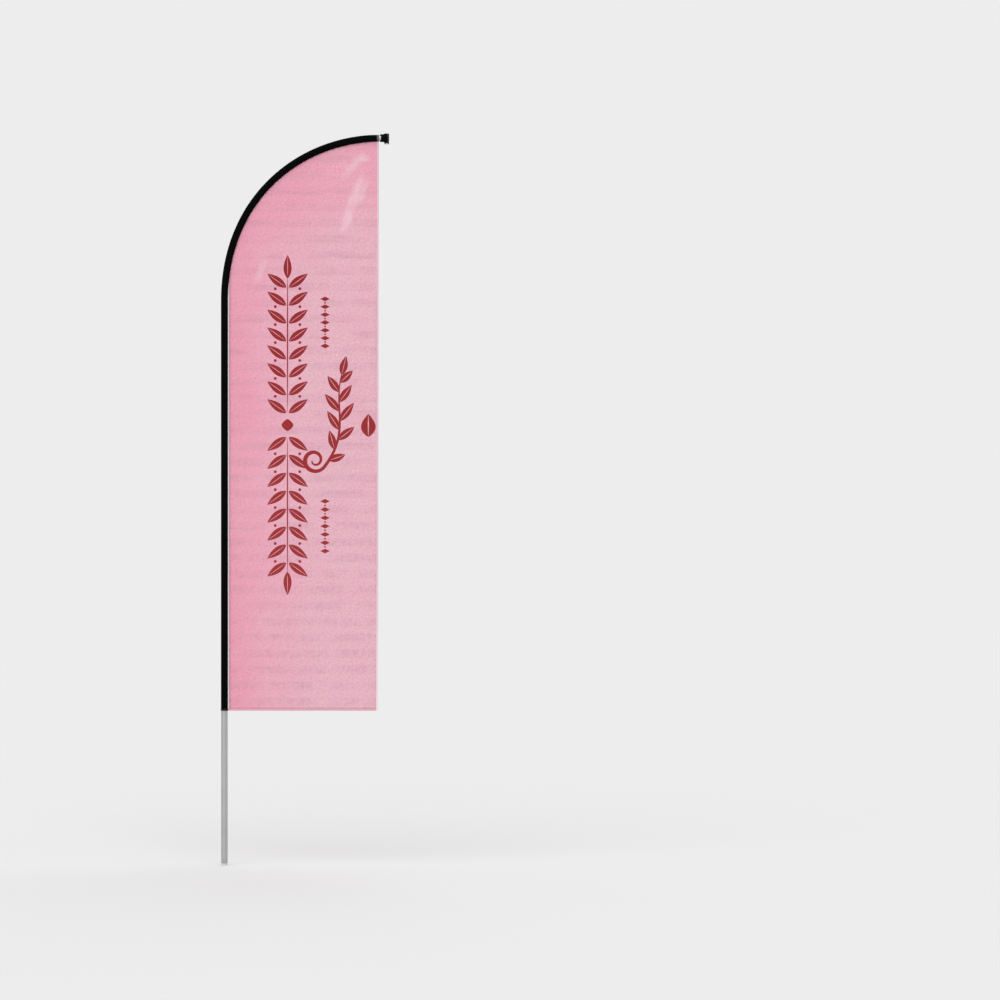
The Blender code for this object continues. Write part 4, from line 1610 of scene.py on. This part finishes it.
# %% [markdown]
# ## Stitches
#
# Stitches repeat, so Geometry Nodes places them. The tree cuts a line into even steps, puts one
# small ellipsoid on each, turned along the line, and makes them one mesh. A lockstitch shows on
# both sides of the cloth, so each seam is two lines, front and back. The stitches are 2.4 mm
# long on a 3 mm pitch, which is usual for flags.

# %% Geometry Nodes: stitch row
STITCH_PITCH = 3 * MM
STITCH_LENGTH = 2.4 * MM
THREAD_WIDTH = 0.45 * MM


def stitch_tree():
    sizes = {"Pitch": "Float", "Length": "Float", "Width": "Float", "Thread": "Material"}
    tree, given = new_tree("stitch_row", sizes)
    line = add(tree, "GeometryNodeMeshToCurve", {"Mesh": given["Geometry"]}).outputs[0]
    stepped = add(
        tree,
        "GeometryNodeResampleCurve",
        {"Curve": line, "Length": given["Pitch"]},
        mode="LENGTH",
    ).outputs[0]
    spots = add(tree, "GeometryNodeCurveToPoints", {"Curve": stepped}, mode="EVALUATED").outputs
    bead = add(tree, "GeometryNodeMeshUVSphere", {"Segments": 7, "Rings": 4, "Radius": 0.5})
    size = add(
        tree,
        "ShaderNodeCombineXYZ",
        {0: given["Width"], 1: given["Width"], 2: given["Length"]},
    )
    placed = add(
        tree,
        "GeometryNodeInstanceOnPoints",
        {
            "Points": spots["Points"],
            "Instance": bead.outputs["Mesh"],
            "Rotation": spots["Rotation"],
            "Scale": size.outputs[0],
        },
    ).outputs[0]
    whole = add(tree, "GeometryNodeRealizeInstances", {"Geometry": placed}).outputs[0]
    dressed = add(
        tree, "GeometryNodeSetMaterial", {"Geometry": whole, "Material": given["Thread"]}
    ).outputs[0]
    add(tree, "NodeGroupOutput", {"Geometry": dressed})
    return tree


STITCH_TREE = stitch_tree()


def stitches(name, lines, look):
    """A seam: rows of stitches along lines of (x, y, z) points."""
    points, edges = [], []
    for line in lines:
        first = len(points)
        points += [tuple(point) for point in line]
        edges += [(first + i, first + i + 1) for i in range(len(line) - 1)]
    source = bpy.data.meshes.new(f"{name}_line")
    source.from_pydata(points, edges, [])
    values = {
        "Pitch": STITCH_PITCH,
        "Length": STITCH_LENGTH,
        "Width": THREAD_WIDTH,
        "Thread": look,
    }
    mesh = grown(name, source, STITCH_TREE, values)
    mesh.materials.clear()
    return add_piece(mesh, "flag_and_top", [look])


def both_faces(flat, thick):
    """A line on the front and one on the back of cloth of a thickness."""
    depth = hang(flat)
    return [
        np.stack([flat[:, 0], depth + side * thick / 2, flat[:, 1]], 1) for side in (-1, 1)
    ]


# %% Sew the seams
STITCH_INSET = 1.6 * MM  # from a hem's inner edge
ROW_END = 1 * MM  # a row starts and stops this far from the ends of its strip
TAPE_INSET = 1.2 * MM
TAPE_ROW_TOP = 2.19
BEND_ROW_START = 0.06
BEND_ROW_END = 12 * MM  # before the sleeve's end
BEND_ROW_GAP = 2.2 * MM

fly_line = np.stack([fly_edge(heights) - HEM_WIDTH + STITCH_INSET, heights], 1)[1:-1]
fly_seam = stitches(
    "fly_hem_stitches", both_faces(fly_line, HEM_THICKNESS), PINK_THREAD
)

sewn = np.linspace(foot_low.x + ROW_END, foot_end - ROW_END, FOOT_POINTS)
foot_row = np.stack([sewn, np.full(len(sewn), HEM_TOP - STITCH_INSET)], 1)
foot_seam = stitches(
    "bottom_hem_stitches", both_faces(foot_row, HEM_THICKNESS), PINK_THREAD
)

sewn = np.linspace(tape_low.z, TAPE_ROW_TOP, 200) + ROW_END
tape_row = np.stack([np.full(len(sewn), TAPE_EDGE - TAPE_INSET), sewn], 1)
tape_seam = stitches(
    "seam_tape_stitches", both_faces(tape_row, TAPE_THICKNESS), WHITE_THREAD
)

round_bend = np.linspace(BEND_ROW_START, SLEEVE_END - BEND_ROW_END, 220)
bend_row = beside_sleeve(round_bend, gap=BEND_ROW_GAP)
bend_seam = stitches(
    "bend_seam_stitches", both_faces(bend_row, CLOTH), PINK_THREAD
)


# %% Sew the bindings
BINDING_INSET = 1.5 * MM
RING_POINTS = 49


def ring_line(distance, radius):
    """A closed ring of points round the pole."""
    (x, z), (dx, dz) = centre_line(distance)
    angle = np.linspace(0, math.tau, RING_POINTS)
    level = radius * np.cos(angle)
    return np.stack([x + level * dz, radius * np.sin(angle), z - level * dx], 1)


tip_rows = [
    ring_line(place, TIP_SLEEVE_RADIUS + 0.2 * MM)
    for place in (BINDING_START + BINDING_INSET, BINDING_END - BINDING_INSET)
]
tip_seam = stitches("tip_binding_stitches", tip_rows, BLACK_THREAD)
mouth_rows = [
    ring_line(height - BEND_START, mouth_high.y + 0.15 * MM)
    for height in (mouth_low.z + BINDING_INSET, mouth_high.z - BINDING_INSET)
]
mouth_seam = stitches("mouth_binding_stitches", mouth_rows, BLACK_THREAD)

# %% [markdown]
# ## Parts that stay as CAD made them
#
# Inside the tubes are the joints: spigots, pins, the bush and cup that turn on the foot, and the
# spring clip. Their CAD shapes are right, so each only gets the finish of its real material.

# %% Finishes on CAD nodes
KEPT = {
    "middle_tube": ALUMINIUM_TUBE,
    "lower_spigot": TURNED_SPIGOT,
    "upper_spigot": TURNED_SPIGOT,
    "lower_spigot_pin": ROLLED_STEEL,
    "upper_spigot_pin": ROLLED_STEEL,
    "foot_circlip": SPRING_STEEL,
    "bearing_bush": NYLON,
    "thrust_cup": ACETAL,
}
for node, look in KEPT.items():
    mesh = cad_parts[node].data
    mesh.materials.clear()
    mesh.materials.append(look)
print(f"finished {len(KEPT)} CAD nodes")

# %% [markdown]
# ## Cut sizes of the cloth
#
# The flag is two sheets: the panel, cut to the outline above, and the sleeve, cut as wide as it
# is round. This prints the size of each cut. The hems, tapes, bindings and seams are narrow
# trims sewn to these sheets.

panel_size = outline.max(axis=0) - outline.min(axis=0)
sleeve_cut = (math.tau * (SLEEVE_RADIUS - SLEEVE_WALL / 2), SLEEVE_END - SLEEVE_START)
for sheet_name, cut in (("panel", panel_size), ("sleeve", sleeve_cut)):
    print(f"{sheet_name}: cut {cut[0] / MM:.0f} by {cut[1] / MM:.0f} mm")

# %% [markdown]
# ## Floor, light and camera
#
# The flag stands on a pale floor that has no visible edge. The sky gives the same soft light from
# everywhere. A very wide lamp adds a little direction from the front and above, and a weaker one
# does the same from behind, because a flag is seen from both sides. The floor's grey is chosen
# so that, lit by all three, it is as bright as the sky, and the horizon vanishes.

# %% Floor and light
SKY = linear("#EDEDED")[0]
LAMP_SHARE = 0.26  # what each lamp adds to the sky's light on the floor
BACK_SHARE = 0.17
LAMP_TILT = math.radians(48)

world = bpy.data.worlds.new("studio_sky")
bpy.context.scene.world = world
world.use_nodes = True
world.node_tree.nodes["Background"].inputs["Color"].default_value = (SKY, SKY, SKY, 1.0)

for label, share, heading in (("front_lamp", LAMP_SHARE, -18), ("back_lamp", BACK_SHARE, 150)):
    lamp_data = bpy.data.lights.new(label, "SUN")
    lamp_data.energy = share * math.pi / math.cos(LAMP_TILT)
    lamp_data.angle = math.radians(70)
    lamp = bpy.data.objects.new(label, lamp_data)
    lamp.rotation_euler = (LAMP_TILT, 0.0, math.radians(heading))
    bpy.context.scene.collection.objects.link(lamp)

# The paint's grey follows from the light, so it takes the place of the hex colour.
floor_look, _, floor_shader = new_look(
    "painted_floor_pale_grey", "#D9D9D9", Roughness=0.95, Specular_IOR_Level=0.0
)
floor_grey = SKY / (SKY + LAMP_SHARE + BACK_SHARE)
floor_shader.inputs["Base Color"].default_value = (floor_grey, floor_grey, floor_grey, 1.0)
FLOOR_REACH = 60.0
floor_mesh = mesh_from(
    "studio_floor",
    [
        (-FLOOR_REACH, -FLOOR_REACH, 0.0),
        (FLOOR_REACH, -FLOOR_REACH, 0.0),
        (FLOOR_REACH, FLOOR_REACH, 0.0),
        (-FLOOR_REACH, FLOOR_REACH, 0.0),
    ],
    [(0, 1, 2, 3)],
)
floor_mesh.materials.append(floor_look)
floor = bpy.data.objects.new("studio_floor", floor_mesh)
bpy.context.scene.collection.objects.link(floor)

# %% [markdown]
# The camera stands far back with a long lens, level with the middle of the flag, so that the
# pole looks straight. The colours are shown as they are, with no film curve over them.

# %% Camera and picture
LENS = 135.0
SENSOR = 36.0
PICTURE_WIDTH = 3.825
AIM = Vector((1.054, 0.0, 1.396))

camera_data = bpy.data.cameras.new("camera")
camera_data.lens = LENS
camera_data.sensor_width = SENSOR
camera = bpy.data.objects.new("camera", camera_data)
camera.location = AIM - Vector((0.0, PICTURE_WIDTH * LENS / SENSOR, 0.0))
camera.rotation_euler = (math.pi / 2, 0.0, 0.0)
bpy.context.scene.collection.objects.link(camera)
bpy.context.scene.camera = camera
bpy.context.scene.view_settings.view_transform = "Standard"
